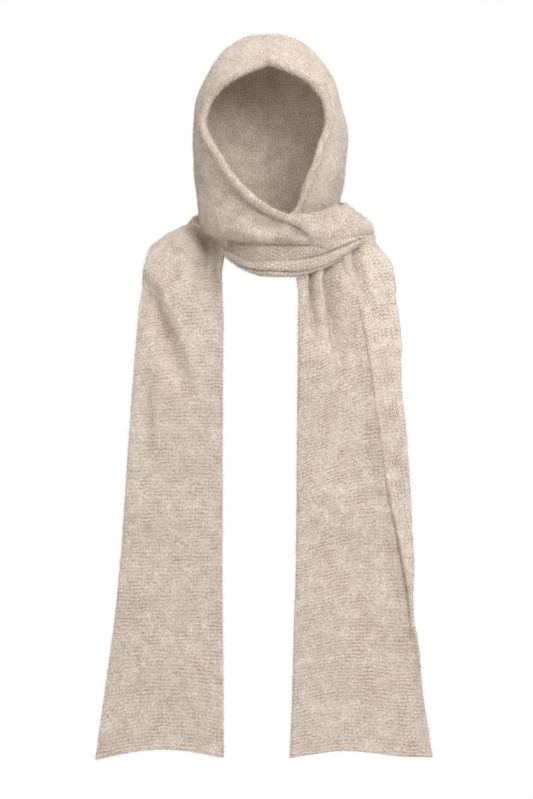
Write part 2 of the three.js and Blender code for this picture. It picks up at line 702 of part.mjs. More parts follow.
function neckWrap() {
  const stations = 44;
  const angles = Array.from({ length: stations + 1 }, (_, i) => mix(WRAP_START, WRAP_END, i / stations));
  const section = wrapSection(WRAP_START).map((place) => new THREE.Vector2(place.out, place.up));
  return piece("neck_wrap", loft(angles.map(wrapRing), section));
}

const snoodHood = new THREE.Group();
snoodHood.add(
  ...hoodHalf("left", leftHoodPoint),
  ...hoodHalf("right", rightHoodPoint),
  crownSeam(),
  neckWrap(),
  ...hangingEnd("left", leftEndPoint, 28, 9),
  ...hangingEnd("right", rightEndPoint, 26, 20),
);

export default snoodHood;
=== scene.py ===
"""A snood hood in brushed oat alpaca, as it is worn: hood, folds round the neck and two ends.

Everything is in metres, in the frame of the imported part: +Z is up, the face opening looks
along -Y, and +X is the viewer's right. Each piece is one sheet of knit. Its middle surface
comes from a table of sections, it gets its thickness and rounded or rolled edges, and then
it is covered with loose fibres.
"""

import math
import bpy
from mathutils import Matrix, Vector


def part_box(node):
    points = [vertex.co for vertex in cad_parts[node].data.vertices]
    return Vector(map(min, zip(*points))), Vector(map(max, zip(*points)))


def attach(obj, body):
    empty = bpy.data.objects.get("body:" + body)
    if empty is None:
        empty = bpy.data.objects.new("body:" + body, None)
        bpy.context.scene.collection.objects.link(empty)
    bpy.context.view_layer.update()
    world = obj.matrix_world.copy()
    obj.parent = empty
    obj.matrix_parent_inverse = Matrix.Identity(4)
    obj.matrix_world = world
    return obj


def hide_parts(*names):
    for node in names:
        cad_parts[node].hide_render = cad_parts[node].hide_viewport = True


bl_info = {
    "name": "Snood hood",
    "version": (1, 0, 0),
    "blender": (4, 5, 0),
    "location": "View3D > Sidebar > Snood hood",
    "description": "Builds a brushed knit hood with wrapped folds and long ends on its packed frame",
    "category": "Add Mesh",
}

import bpy
import numpy as np
from bpy.props import FloatProperty, FloatVectorProperty, PointerProperty

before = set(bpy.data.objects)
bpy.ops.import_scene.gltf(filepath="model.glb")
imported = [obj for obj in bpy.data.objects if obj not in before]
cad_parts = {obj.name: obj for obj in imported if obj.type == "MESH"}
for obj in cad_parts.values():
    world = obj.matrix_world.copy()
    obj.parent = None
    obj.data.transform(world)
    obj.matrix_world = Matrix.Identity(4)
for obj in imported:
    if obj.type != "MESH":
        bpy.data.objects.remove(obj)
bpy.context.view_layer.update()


# Sizes of the worn form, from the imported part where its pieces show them
KNIT = 0.004
LEFT_LOW, LEFT_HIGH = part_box("hood_left")
RIGHT_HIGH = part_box("hood_right")[1]
WRAP_LOW, WRAP_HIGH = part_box("neck_wrap")
LEFT_HEM_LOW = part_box("left_end_hem")[0]
RIGHT_HEM_LOW, RIGHT_HEM_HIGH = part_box("right_end_hem")
QUARTER_TURN = math.pi / 2

# The hood, its crossing panel, its seam, and at how many half thicknesses its roll fades
HALF_WIDTH = (RIGHT_HIGH.x - LEFT_LOW.x - KNIT) / 2
HALF_DEPTH = LEFT_HIGH.y - KNIT / 2
TOP = KNIT / 2
CROWN_HEIGHT = 0.150
SIDE_HEIGHT = 0.132
DROP = CROWN_HEIGHT + SIDE_HEIGHT
CROWN_LEAN = 0.003
CROWN_RISE = 0.0022
CROWN_POWER = 2 / 2.2
PANEL_SWELL = 0.012
SEAM_GAP = 0.0001
SEAM_WIDTH = 0.004
SEAM_HEIGHT = 0.0016
SEAM_TAPER = 0.002
ROLL_FADES = 3.4

# The folds round the neck
FOLDS_SWELL = 0.006
FOLDS_THICKNESS = 0.015
FOLDS_HEIGHT = 0.041
CREASE_DEPTH = 0.0036
RIGHT_REACH = WRAP_HIGH.x - FOLDS_SWELL / 2
FRONT_REACH = -WRAP_LOW.y - FOLDS_SWELL

# The two ends, their soft folds, and the turned-over edge of the right one
LEFT_DROP = -LEFT_HEM_LOW.z
RIGHT_DROP = -RIGHT_HEM_LOW.z
LEFT_REACH = -LEFT_HEM_LOW.x
RIGHT_CORNER = RIGHT_HEM_HIGH.x
END_FORWARD = 0.084
LEFT_HEM_ARCH = 0.012
RIGHT_HEM_ARCH = 0.0095
TUCKED_IN = 0.010
PLEAT_DEPTH = 0.020
DENT_DEPTH = 0.019
TURNBACK = 0.054
TURN_RADIUS = 0.0046
TURNED_INTO = 0.0027
RIDGE_HEIGHT = 0.006
RIDGE_HALF_WIDTH = 0.019

# Half the thickness of the ends' long edges, where the band on the inner one fades, and by
# what share the hem swells, how far from its edge and over what half width
INNER_EDGE = 0.0027
OUTER_EDGE = 0.0024
TURNED_EDGE = 0.0030
BAND_FROM, BAND_TO = 0.006, 0.011
HEM_SWELL, HEM_PLACE, HEM_HALF_WIDTH = 0.3, 0.004, 0.005

# Slow unevenness of the soft knit, as height and wave length, and where it fades at an edge
HOOD_LUMPS = (0.0009, 0.075)
WRAP_LUMPS = (0.0011, 0.04)
END_LUMPS = (0.0016, 0.11)
END_RIPPLES = (0.0005, 0.03)
HOOD_HELD = 0.03
END_HELD = 0.1

# How many loose fibres each piece has, their shares on its reverse, inside the wrap and on a
# strip beside its edges, and how much higher they stand there
HOOD_FIBRES = 42000
WRAP_FIBRES = 30000
LEFT_END_FIBRES = 48000
RIGHT_END_FIBRES = 56000
REVERSE_SHARE = 0.35
INSIDE_SHARE = 0.1
EDGE_SHARE = 1.8
EDGE_LIFT = 1.4
EDGE_STRIP = 0.006

# Widths as knitted, which set how many columns of stitches lie across: each half of the
# hood at its widest, and the two long strips. Then the length and area of each flat piece
HOOD_STRIP = 0.245
LEFT_STRIP = 0.175
RIGHT_STRIP = 0.195
LEFT_HOOD_CUT = (0.560, 0.076)
RIGHT_HOOD_CUT = (0.470, 0.070)

# The photo's frame: 1.346 mm to a pixel at the front of the object, round a middle point
PIXEL = 0.001346
IMAGE_HEIGHT = 799
OBJECT_FRONT = -0.08
MIDDLE_X, MIDDLE_Z = -0.0047, -0.4907
CAMERA_DISTANCE = 6.0
SENSOR_WIDTH = 36
SEED = 7


def linear(hex_colour):
    """The linear colour of an sRGB hex value, as Blender's sockets take it."""
    channels = (int(hex_colour[i : i + 2], 16) / 255 for i in (1, 3, 5))
    return tuple(c / 12.92 if c <= 0.04045 else ((c + 0.055) / 1.055) ** 2.4 for c in channels)


class SnoodSizes(bpy.types.PropertyGroup):
    """Sizes of the knit that a user may change"""

    edge_roll: FloatProperty(
        name="Rolled edge",
        description="Half the thickness of the edge that rolls up round the face opening",
        default=0.005, min=0.002, max=0.008, precision=4, unit="LENGTH",
    )
    course: FloatProperty(
        name="Row",
        description="Height of a row of stitches, 4.85 mm in the photo",
        default=0.00485, min=0.002, max=0.02, precision=5, unit="LENGTH",
    )
    wale: FloatProperty(
        name="Column",
        description="Width of a column of stitches",
        default=0.0056, min=0.002, max=0.02, precision=5, unit="LENGTH",
    )
    fibre_length: FloatProperty(
        name="Fibre length",
        description="Length of the longest loose fibres",
        default=0.009, min=0.002, max=0.03, precision=4, unit="LENGTH",
    )
    fibre_width: FloatProperty(
        name="Fibre width",
        description="Width of a lock of loose fibres",
        default=0.0003, min=0.00005, max=0.001, precision=5, unit="LENGTH",
    )


class SnoodColours(bpy.types.PropertyGroup):
    """Colours of the yarn and the floor"""

    yarn: FloatVectorProperty(
        name="Yarn",
        description="Colour of the oat yarn where light falls on it",
        subtype="COLOR", default=linear("#e4ddd5"), min=0, max=1,
    )
    # Painted shade: the colour that the knit is darkened to down between its stitches, where shade
    # falls. It also tints some loose fibres darker at random
    depth: FloatVectorProperty(
        name="Between stitches",
        description="Colour of the yarn down between the stitches",
        subtype="COLOR", default=linear("#9f8975"), min=0, max=1,
    )
    fibre: FloatVectorProperty(
        name="Loose fibres",
        description="Colour of the brushed-up fibres",
        subtype="COLOR", default=linear("#ede7e0"), min=0, max=1,
    )
    floor: FloatVectorProperty(
        name="Floor",
        description="Colour of the studio floor",
        subtype="COLOR", default=linear("#f1efec"), min=0, max=1,
    )


# Small functions of numbers
def mix(a, b, share):
    return a + (b - a) * share


def bump(share):
    return 4 * share * (1 - share)


def smoothstep(low, high, value):
    share = np.clip((value - low) / (high - low), 0, 1)
    return share * share * (3 - 2 * share)


def dent(place, middle, width):
    """A hollow line: 1 deep at its middle and 0 at its width from it."""
    distance = np.clip(np.abs(place - middle) / width, 0, 1)
    return (1 + np.cos(np.pi * distance)) / 2


def waves(first, second, lumps, seed):
    """Slow uneven waves over two distances, of a height and a wave length."""
    height, length = lumps
    random = np.random.default_rng(seed)
    total = 0
    for _ in range(7):
        angle, phase = random.uniform(0, 2 * np.pi, 2)
        pace = 2 * np.pi / (length * random.uniform(0.7, 1.5))
        total = total + np.sin(pace * (first * np.cos(angle) + second * np.sin(angle)) + phase)
    return height * (total / 2.6)


def curve(places, values):
    """A smooth curve through the values at the places, which never swings past them."""
    at = np.asarray(places, float)
    level = np.asarray(values, float)
    rise = np.diff(level) / np.diff(at)
    before = np.concatenate([rise[:1], rise])
    after = np.concatenate([rise, rise[-1:]])
    both = np.where(before * after > 0, before + after, 1)
    slope = np.where(before * after > 0, 2 * before * after / both, 0)

    def value(where):
        x = np.clip(where, at[0], at[-1])
        i = np.clip(np.searchsorted(at, x, side="right") - 1, 0, len(at) - 2)
        span = at[i + 1] - at[i]
        t = (x - at[i]) / span
        start = (2 * t**3 - 3 * t**2 + 1) * level[i] + (t**3 - 2 * t**2 + t) * span * slope[i]
        end = (3 * t**2 - 2 * t**3) * level[i + 1] + (t**3 - t**2) * span * slope[i + 1]
        return start + end

    return value


def table(keys, rows):
    """The named columns of a table as curves over its first column."""
    columns = list(zip(*rows))
    return {key: curve(columns[0], columns[i + 1]) for i, key in enumerate(keys[1:])}


def vector(x, y, z):
    return np.stack(np.broadcast_arrays(x, y, z), axis=-1)


def unit(vectors):
    return vectors / np.maximum(np.linalg.norm(vectors, axis=-1, keepdims=True), 1e-12)


# The hood's half sizes by level, from its widest part (0) to the crease (1), as shares of
# its greatest half sizes. The last two columns carry the crossing panel out onto the wrap
LEFT_FORM = table(("at", "left", "right", "front", "back", "to_wrap_side", "to_wrap_front"), (
    (0, 1, 1, 1, 1, 0, 0),
    (0.15, 0.985, 0.99, 1, 0.97, 0, 0),
    (0.35, 0.96, 0.965, 0.99, 0.92, 0, 0.1),
    (0.55, 0.925, 0.94, 0.98, 0.84, 0.3, 0.5),
    (0.7, 0.88, 0.93, 0.97, 0.8, 0.95, 1),
    (0.85, 0.81, 0.93, 0.97, 0.78, 1, 1),
    (1, 0.65, 0.93, 0.97, 0.76, 1, 1),
))
RIGHT_FORM = table(("at", "left", "right", "front", "back"), (
    (0, 1, 1, 1, 1),
    (0.15, 0.98, 0.985, 0.995, 0.97),
    (0.35, 0.93, 0.955, 0.96, 0.92),
    (0.55, 0.86, 0.9, 0.9, 0.84),
    (0.7, 0.78, 0.84, 0.86, 0.8),
    (0.85, 0.7, 0.8, 0.84, 0.78),
    (1, 0.62, 0.78, 0.83, 0.76),
))

# The long edges of each half of the hood, from its end at the throat (0) to the crown (1).
# Angles are degrees from the front, and drops are shares of the whole drop to the crease
EDGE_KEYS = ("at", "front_angle", "front_drop", "back_angle", "back_drop")
LEFT_EDGES = table(EDGE_KEYS, (
    (0, 38, 1, 38, 1.006),
    (0.07, 31, 0.984, 31, 1.006),
    (0.14, 24, 0.944, 20, 1.006),
    (0.21, 14.5, 0.884, 6, 1.002),
    (0.28, 3.5, 0.844, -9, 1),
    (0.35, -9, 0.79, -26, 0.994),
    (0.42, -21, 0.722, -46, 0.984),
    (0.49, -32, 0.646, -74, 0.97),
    (0.56, -41, 0.562, -112, 0.93),
    (0.63, -51, 0.486, -150, 0.87),
    (0.68, -56, 0.42, -180, 0.82),
    (0.74, -54, 0.345, -180, 0.69),
    (0.81, -44, 0.276, -180, 0.53),
    (0.88, -31, 0.226, -180, 0.36),
    (0.94, -16, 0.191, -180, 0.21),
    (1, 0, 0.157, -180, 0.08),
))
RIGHT_EDGES = table(EDGE_KEYS, (
    (0, -18, 0.925, -18, 0.97),
    (0.07, -8, 0.92, -7, 0.972),
    (0.14, 3, 0.905, 6, 0.975),
    (0.21, 13, 0.885, 22, 0.97),
    (0.28, 22.5, 0.83, 42, 0.962),
    (0.35, 26, 0.765, 62, 0.95),
    (0.42, 29.5, 0.69, 84, 0.935),
    (0.49, 34, 0.62, 108, 0.915),
    (0.56, 38, 0.545, 134, 0.885),
    (0.63, 44, 0.47, 160, 0.85),
    (0.68, 47.5, 0.415, 180, 0.82),
    (0.74, 47.5, 0.35, 180, 0.69),
    (0.81, 42, 0.278, 180, 0.53),
    (0.88, 31, 0.224, 180, 0.36),
    (0.94, 16, 0.184, 180, 0.21),
    (1, 0, 0.157, 180, 0.08),
))

# How far out the crossing panel stands, from its rolled edge (0) down to the crease (1)
PANEL_OUT = curve(
    (0.0, 0.08, 0.24, 0.42, 0.62, 0.8, 0.93, 1.0),
    (0.3, 0.1, -0.5, -0.2, 0.6, 1.0, 0.65, -0.1),
)

# Places along each half: where the panel is fullest and where it ends, the nape of the neck,
# and where the seam's front end starts
THROAT = 0.42
PANEL_FADES = 0.6
NAPE = 0.68
SEAMED_FROM = 0.9


def lean_at(drop):
    """How far the hood leans to the viewer's left at a drop from its top."""
    return CROWN_LEAN * np.clip(1 - drop / CROWN_HEIGHT, 0, 1)


def dome_point(form, angle, turn):
    """Points of the hood by angle round the head and turn down from the crown."""
    below = np.maximum(turn - 1, 0)
    above = np.minimum(turn, 1) * QUARTER_TURN
    up = np.cos(above) ** CROWN_POWER
    around = np.sin(above) ** CROWN_POWER
    drop = CROWN_HEIGHT * (1 - up + below * QUARTER_TURN)
    level = np.clip((drop - CROWN_HEIGHT) / SIDE_HEIGHT, 0, 1)
    right = form["right"](level) * HALF_WIDTH
    front = form["front"](level) * HALF_DEPTH
    if "to_wrap_side" in form:
        right = mix(right, RIGHT_REACH, form["to_wrap_side"](level))
        front = mix(front, FRONT_REACH, form["to_wrap_front"](level))
    side = np.where(np.sin(angle) < 0, form["left"](level) * HALF_WIDTH, right)
    depth = np.where(np.cos(angle) > 0, front, form["back"](level) * HALF_DEPTH)
    x = side * np.sin(angle) * around - lean_at(drop)
    return vector(x, -depth * np.cos(angle) * around, TOP - drop + CROWN_RISE * up)


def turn_of(share):
    """The turn at which the hood has come down by a share of the whole drop."""
    drop = share * DROP
    up = np.clip(1 - drop / CROWN_HEIGHT, 0, 1)
    above = np.arccos(up ** (1 / CROWN_POWER)) / QUARTER_TURN
    return np.where(drop < CROWN_HEIGHT, above, 1 + (drop / CROWN_HEIGHT - 1) / QUARTER_TURN)


def hood_points(form, edges, along, across):
    """Points of a half of the hood. Round the neck the cloth runs level, then over the head."""
    angles = [np.radians(edges[f"{side}_angle"](along)) for side in ("front", "back")]
    turns = [turn_of(edges[f"{side}_drop"](along)) for side in ("front", "back")]
    angle = mix(*angles, across)
    turn = mix(*turns, across)
    over_x = mix(*(t * np.sin(a) for t, a in zip(turns, angles)), across)
    over_y = mix(*(-t * np.cos(a) for t, a in zip(turns, angles)), across)
    over = smoothstep(NAPE, 1, along)
    x = mix(turn * np.sin(angle), over_x, over)
    y = mix(-turn * np.cos(angle), over_y, over)
    return dome_point(form, np.arctan2(x, -y), np.hypot(x, y))


def left_hood_points(along, across):
    points = hood_points(LEFT_FORM, LEFT_EDGES, along, across)
    whole = smoothstep(0, THROAT, along) - smoothstep(THROAT, PANEL_FADES, along)
    out = PANEL_SWELL * PANEL_OUT(across) * whole
    reach = np.hypot(points[..., 0], points[..., 1])
    points[..., :2] *= (1 + out / reach)[..., None]
    return points


def right_hood_points(along, across):
    return hood_points(RIGHT_FORM, RIGHT_EDGES, along, across)


# The wrap by angle from the front: its line round the neck, its levels and how far its folds
# swell, as shares of its reach, of the drop to the crease and of the folds at the throat
WRAP_KEYS = ("at", "side", "depth", "top_drop", "crease_drop", "fold_height", "swell", "tuck", "slant")
WRAP_FORM = table(WRAP_KEYS, (
    (-78, 0.44, 1, 0.955, 0.992, 0.4, 0.7, 0.026, 0.005),
    (-60, 0.445, 1, 0.955, 0.996, 0.58, 1, 0.026, 0.005),
    (-30, 0.465, 1, 0.95, 1.01, 0.86, 1, 0.026, 0.005),
    (-8, 0.55, 1, 0.935, 1.017, 0.98, 1, 0.026, 0.005),
    (12, 0.9, 1, 0.868, 1.017, 1, 1, 0.026, 0.01),
    (30, 1, 1, 0.852, 1.006, 0.83, 1, 0.026, 0.03),
    (45, 1, 1, 0.822, 0.986, 0.6, 1, 0.024, 0.09),
    (60, 1, 1, 0.812, 0.966, 0.35, 0.7, 0.01, 0.19),
    (78, 1.02, 1, 0.803, 0.954, 0.24, 0.3, 0, 0.265),
    (100, 1.01, 0.98, 0.797, 0.948, 0.32, 0.45, 0, 0.24),
    (130, 1, 0.97, 0.788, 0.925, 0.48, 0.85, 0, 0.12),
    (160, 0.95, 0.97, 0.785, 0.9, 0.62, 0.9, 0, 0.04),
    (190, 0.82, 0.97, 0.79, 0.9, 0.62, 0.8, 0, 0.02),
    (214, 0.79, 0.97, 0.8, 0.93, 0.55, 0.2, 0, 0.005),
))
WRAP_START, WRAP_END = -78, 214
WRAP_SECTIONS = 230

# How far the band above the folds leans in, from its top (0) down to the crease (1)
BAND_LEAN = curve((0.0, 0.2, 0.35, 0.5, 0.65, 0.8, 1.0), (1.0, 0.69, 0.46, 0.21, 0.0, -0.05, 0.0))

# The lines between the folds by angle, as shares of the folds' height under the crease
FOLD_LINES = table(("at", "second", "third"), (
    (-78, 0.5, 0.8),
    (-25, 0.58, 0.84),
    (3, 0.49, 0.82),
    (24, 0.46, 0.9),
    (44, 0.3, 0.92),
    (56, 0.24, 0.9),
    (90, 0.3, 0.75),
    (130, 0.36, 0.7),
    (214, 0.4, 0.72),
))

# The face of one fold: 0 is the crease above it, and 1 the crease that it hangs over
FOLD_FACE = table(("at", "out", "in_crease"), (
    (0, 0.1, 1),
    (0.05, 0.32, 0.4),
    (0.14, 0.64, 0.12),
    (0.3, 0.92, 0),
    (0.55, 1, 0),
    (0.78, 0.9, 0.02),
    (0.9, 0.72, 0.14),
    (0.97, 0.45, 0.45),
    (1, 0.2, 1),
))

# The folds as shares of their swell: the upper one lies back under the crossing panel, and
# comes out beside it between two angles. The hollow inside them is a share of their depth
UPPER_UNDER, UPPER_BESIDE = -0.4, 0.9
PANEL_FROM, PANEL_TO = 10, 42
LOWER_FOLDS = (0.95, 0.45)
FOLD_HOLLOW = 0.6

# Where the points of a section lie down the band and on each fold, and the band's round rim
RIM = 0.06
BAND_PLACES = (0, 0.02, 0.06, 0.12, 0.2, 0.3, 0.4, 0.5, 0.6, 0.7, 0.8, 0.88, 0.94, 0.98)
FOLD_PLACES = (0, 0.03, 0.08, 0.16, 0.28, 0.42, 0.58, 0.72, 0.84, 0.92, 0.97)


def wrap_line(degrees):
    angle = np.radians(degrees)
    side = RIGHT_REACH * WRAP_FORM["side"](degrees)
    depth = FRONT_REACH * WRAP_FORM["depth"](degrees)
    return vector(side * np.sin(angle), -depth * np.cos(angle), 0)


def wrap_out(degrees):
    ahead = unit(wrap_line(degrees + 1) - wrap_line(degrees - 1))
    return vector(ahead[..., 1], -ahead[..., 0], 0)


def wrap_inside(degrees):
    """How far the wrap's inner face lies in from its line."""
    return mix(KNIT, FOLDS_THICKNESS - FOLDS_SWELL, WRAP_FORM["swell"](degrees))


def wrap_level(degrees, share):
    """Levels of the folds, from the crease (0) to their bottom (1)."""
    crease = TOP - DROP * WRAP_FORM["crease_drop"](degrees)
    return crease - FOLDS_HEIGHT * WRAP_FORM["fold_height"](degrees) * share


def wrap_section(degrees):
    """The wrap's section, from its top down outside and up again inside: how far out it lies,
    how high, and how far out the fold's hollow lies between its two layers."""
    top = TOP - DROP * WRAP_FORM["top_drop"](degrees)
    crease = wrap_level(degrees, 0)
    bottom = wrap_level(degrees, 1)
    tuck = RIGHT_REACH * WRAP_FORM["tuck"](degrees)
    slant = RIGHT_REACH * WRAP_FORM["slant"](degrees)
    swell = WRAP_FORM["swell"](degrees)
    inner = wrap_inside(degrees)
    points = []

    def band_out(place):
        return -tuck - slant * BAND_LEAN(place)

    def band_in(place):
        return np.minimum(mix(band_out(place) - KNIT, -inner, place**2), band_out(place) - KNIT)

    def rim(place):
        return KNIT / 2 * (1 - rounded(place, RIM))

    for place in BAND_PLACES:
        hollow = mix(band_out(place), band_in(place), 0.45)
        points.append((band_out(place) - rim(place), mix(top, crease, place), hollow))
    lines = (0, FOLD_LINES["second"](degrees), FOLD_LINES["third"](degrees), 1)
    upper_fold = mix(UPPER_UNDER, UPPER_BESIDE, smoothstep(PANEL_FROM, PANEL_TO, degrees))
    for i, size in enumerate((upper_fold, *LOWER_FOLDS)):
        for place in FOLD_PLACES:
            depth = CREASE_DEPTH * swell * FOLD_FACE["in_crease"](place)
            out = FOLDS_SWELL * swell * size * FOLD_FACE["out"](place) - depth
            up = wrap_level(degrees, mix(lines[i], lines[i + 1], place))
            points.append((out, up, -inner * FOLD_HOLLOW))
    points.append((-inner * 0.3, bottom - 0.0002, -inner * FOLD_HOLLOW))
    points.append((-inner * 0.75, bottom + 0.001, -inner * 0.65))
    points.append((-inner, mix(bottom, crease, 0.2), -inner * 0.65))
    for place in BAND_PLACES[::-1]:
        hollow = mix(band_out(place), band_in(place), 0.55)
        points.append((band_in(place) + rim(place), mix(top, crease, place), hollow))
    return [np.stack(np.broadcast_arrays(*values), axis=-1) for values in zip(*points)]


# The left end's two edges, from the back of the neck (0) over the shoulder to the hem (1).
# In and out are the edges nearer to and farther from the neck, as shares of the outer
# corner's distance to the side, of how far in front the ends hang, and of the whole drop
LEFT_KEYS = ("at", "in_side", "in_forward", "in_drop", "out_side", "out_forward", "out_drop", "arch")
LEFT_END = table(LEFT_KEYS, (
    (0, 0.27, -0.985, 0.232, 0.275, -1.03, 0.286, 0.04),
    (0.04, 0.375, -0.78, 0.24, 0.41, -0.92, 0.287, 0.08),
    (0.085, 0.435, -0.44, 0.252, 0.56, -0.68, 0.287, 0.12),
    (0.13, 0.4, -0.05, 0.261, 0.67, -0.28, 0.287, 0.15),
    (0.18, 0.33, 0.16, 0.275, 0.71, 0.1, 0.303, 0.15),
    (0.235, 0.26, 0.4, 0.294, 0.724, 0.47, 0.328, 0.12),
    (0.3, 0.276, 0.62, 0.33, 0.739, 0.72, 0.358, 0.08),
    (0.37, 0.268, 0.82, 0.392, 0.762, 0.82, 0.407, 0.04),
    (0.5, 0.27, 0.95, 0.508, 0.796, 0.86, 0.512, 0.02),
    (0.75, 0.272, 1, 0.755, 0.868, 0.88, 0.757, 0),
    (0.9, 0.266, 1.02, 0.902, 0.945, 0.88, 0.904, 0),
    (1, 0.264, 1.02, 0.996, 1, 0.88, 1, 0),
))

# Soft folds: the places along the end between which each runs, where it lies across the end
# at its top and bottom, its width across, and its depth as a share
FOLD_KEYS = ("start", "stop", "top_across", "end_across", "width", "depth")
LEFT_DENTS = (
    (0.15, 0.5, 1.36, 0.37, 0.21, 1.1),
    (0.08, 0.4, 0.24, 0.12, 0.34, 1.25),
    (0.13, 0.36, 0.24, 0.16, 0.2, 0.8),
    (0.3, 0.66, 0.95, 0.75, 0.14, 0.3),
)
PLEATS = (
    (-0.15, 0.17, 0.1, 0.19, 0.07, 0.85),
    (-0.15, 0.28, 0.26, 0.44, 0.11, 0.95),
    (-0.15, 0.15, 0.57, 0.7, 0.09, 0.85),
)


def soft_folds(rows, along, across):
    """How far the folds of a table press the cloth in, as a share."""
    total = 0
    for row in rows:
        fold = dict(zip(FOLD_KEYS, row))
        place = (along - fold["start"]) / (fold["stop"] - fold["start"])
        middle = mix(fold["top_across"], fold["end_across"], place)
        shape = bump(np.clip(place, 0, 1)) * dent(across, middle, fold["width"])
        total = total + fold["depth"] * shape
    return total


def past_wrap(along, down):
    """Places straight on from inside the wrap's end, where the left end starts."""
    out = wrap_out(WRAP_END)
    ahead = vector(-out[1], out[0], 0)
    top = TOP - DROP * WRAP_FORM["top_drop"](WRAP_END)
    distance = along * LEFT_DROP - TUCKED_IN
    place = wrap_line(WRAP_END) - out * KNIT / 2 + distance[..., None] * ahead
    place[..., 2] = mix(top, wrap_level(WRAP_END, 1), down)
    return place


def left_end_points(along, across):
    along, across = np.broadcast_arrays(along, across)
    side, forward, drop = (
        size * mix(LEFT_END[f"in_{way}"](along), LEFT_END[f"out_{way}"](along), across)
        for way, size in (("side", LEFT_REACH), ("forward", END_FORWARD), ("drop", LEFT_DROP))
    )
    width = LEFT_REACH * (LEFT_END["out_side"](along) - LEFT_END["in_side"](along))
    arch = width * LEFT_END["arch"](along) * bump(across)
    back = DENT_DEPTH * soft_folds(LEFT_DENTS, along, across)
    hem = LEFT_HEM_ARCH * bump(across) ** 1.3 * smoothstep(0.75, 1, along)
    free = vector(-side, -forward + back, -drop + arch + hem)
    return mix(past_wrap(along, across), free, smoothstep(0, 0.06, along)[..., None])


# The right end from under the folds (0) to the hem (1). Sides are shares of the outer
# corner's distance, and curl is 1 where the edge is turned over and 0 where it lies flat
RIGHT_END = table(("at", "in_side", "out_side", "turnback", "curl"), (
    (0, 0.18, 0.675, 1.1, 1),
    (0.04, 0.175, 0.718, 1.05, 1),
    (0.12, 0.172, 0.758, 0.86, 1),
    (0.3, 0.166, 0.813, 0.66, 1),
    (0.48, 0.163, 0.851, 0.48, 1),
    (0.62, 0.158, 0.876, 0.2, 0.95),
    (0.72, 0.148, 0.886, 0.06, 0.55),
    (0.8, 0.142, 0.911, 0.06, 0.15),
    (0.88, 0.135, 0.942, 0.06, 0),
    (1, 0.12, 1, 0.06, 0),
))
RIGHT_HEM = curve((0, 0.16, 0.38, 0.62, 0.8, 1), (0, 0.5, 1, 0.55, 0.1, 0))
RIGHT_OUTER_FORWARD = 0.8
RIGHT_TOP_FROM, RIGHT_TOP_TO = 16, 85
BEND_FROM, BEND_TO = 0.6, 0.82


def right_base(along, share):
    """The right end before its pleats and its turned-over edge."""
    degrees = mix(RIGHT_TOP_FROM, RIGHT_TOP_TO, share)
    inward = wrap_inside(degrees) / 2 + 0.5 * TUCKED_IN * np.clip(share, 0, 1) ** 2
    top = wrap_line(degrees) - wrap_out(degrees) * inward[..., None]
    level = wrap_level(degrees, 1) + TUCKED_IN
    side = RIGHT_CORNER * mix(RIGHT_END["in_side"](along), RIGHT_END["out_side"](along), share)
    hem_drop = RIGHT_DROP - RIGHT_HEM_ARCH * RIGHT_HEM(share)
    forward = END_FORWARD * mix(1, RIGHT_OUTER_FORWARD, share)
    spread = smoothstep(0, 0.06, along)
    flatten = smoothstep(0, 0.36, along)
    x = mix(top[..., 0], side, spread)
    y = mix(top[..., 1], -forward, flatten)
    return vector(x, y, -mix(-level, hem_drop, along))


def right_end_points(along, across):
    """The right end's section by its length: flat, round the bend, and back in front."""
    along, across = np.broadcast_arrays(along, across)
    reach = RIGHT_CORNER * (RIGHT_END["out_side"](along) - RIGHT_END["in_side"](along))
    curl = RIGHT_END["curl"](along)
    bend = math.pi * TURN_RADIUS
    turnback = TURNBACK * RIGHT_END["turnback"](along)
    flat = reach - mix(bend + turnback, TURN_RADIUS, curl)
    in_bend = flat + bend * (across - BEND_FROM) / (BEND_TO - BEND_FROM)
    in_front = flat + bend + turnback * (across - BEND_TO) / (1 - BEND_TO)
    length = np.where(across > BEND_FROM, in_bend, flat * across / BEND_FROM)
    length = np.where(across > BEND_TO, in_front, length)
    full = np.maximum(np.pi * curl, 1e-3)
    turned = np.clip((length - flat) / bend, 0, 1) * full
    radius = bend / full
    rest = np.maximum(length - flat - bend, 0)
    beyond = flat + radius * np.sin(turned) + rest * np.cos(full)
    beside_edge = np.where(length > flat, beyond, length)
    share = beside_edge / reach
    # The turned-over part settles onto the cloth under it towards its free edge, and stands
    # as a roll where it is narrow
    lowest = TURNED_EDGE + KNIT / 2 - TURNED_INTO
    broad = smoothstep(0.1, 0.45, RIGHT_END["turnback"](along))
    settled = (2 * TURN_RADIUS - lowest) * broad * smoothstep(0, 0.9 * turnback, rest)
    front = radius * (1 - np.cos(turned)) + rest * np.sin(full) - settled
    ridge = dent(beside_edge, flat - turnback, RIDGE_HALF_WIDTH)
    front = front + RIDGE_HEIGHT * curl * ridge * smoothstep(0, 0.1, along)
    point = right_base(along, share)
    beside = unit(right_base(along, share + 0.01) - right_base(along, share - 0.01))
    toward = unit(vector(beside[..., 1], -beside[..., 0], 0))
    back = PLEAT_DEPTH * soft_folds(PLEATS, along, share)
    return point + toward * (front - back)[..., None]


# The seam over the crown and down the back of the head, by turns from the crown
SEAM_FROM = -turn_of(LEFT_EDGES["front_drop"](1))
SEAM_TO = turn_of(LEFT_EDGES["back_drop"](NAPE))


def seam_line(turn):
    return dome_point(LEFT_FORM, np.where(turn < 0, 0, np.pi), np.abs(turn))


def seam_points(along, across):
    along, across = np.broadcast_arrays(along, across)
    turn = mix(SEAM_FROM, SEAM_TO, along)
    ahead = seam_line(turn + 0.01) - seam_line(turn - 0.01)
    out = unit(vector(0, -ahead[..., 2], ahead[..., 1]))
    point = seam_line(turn) + out * (KNIT / 2 + SEAM_HEIGHT / 4)
    point[..., 0] += SEAM_WIDTH * (across - 0.5)
    return point


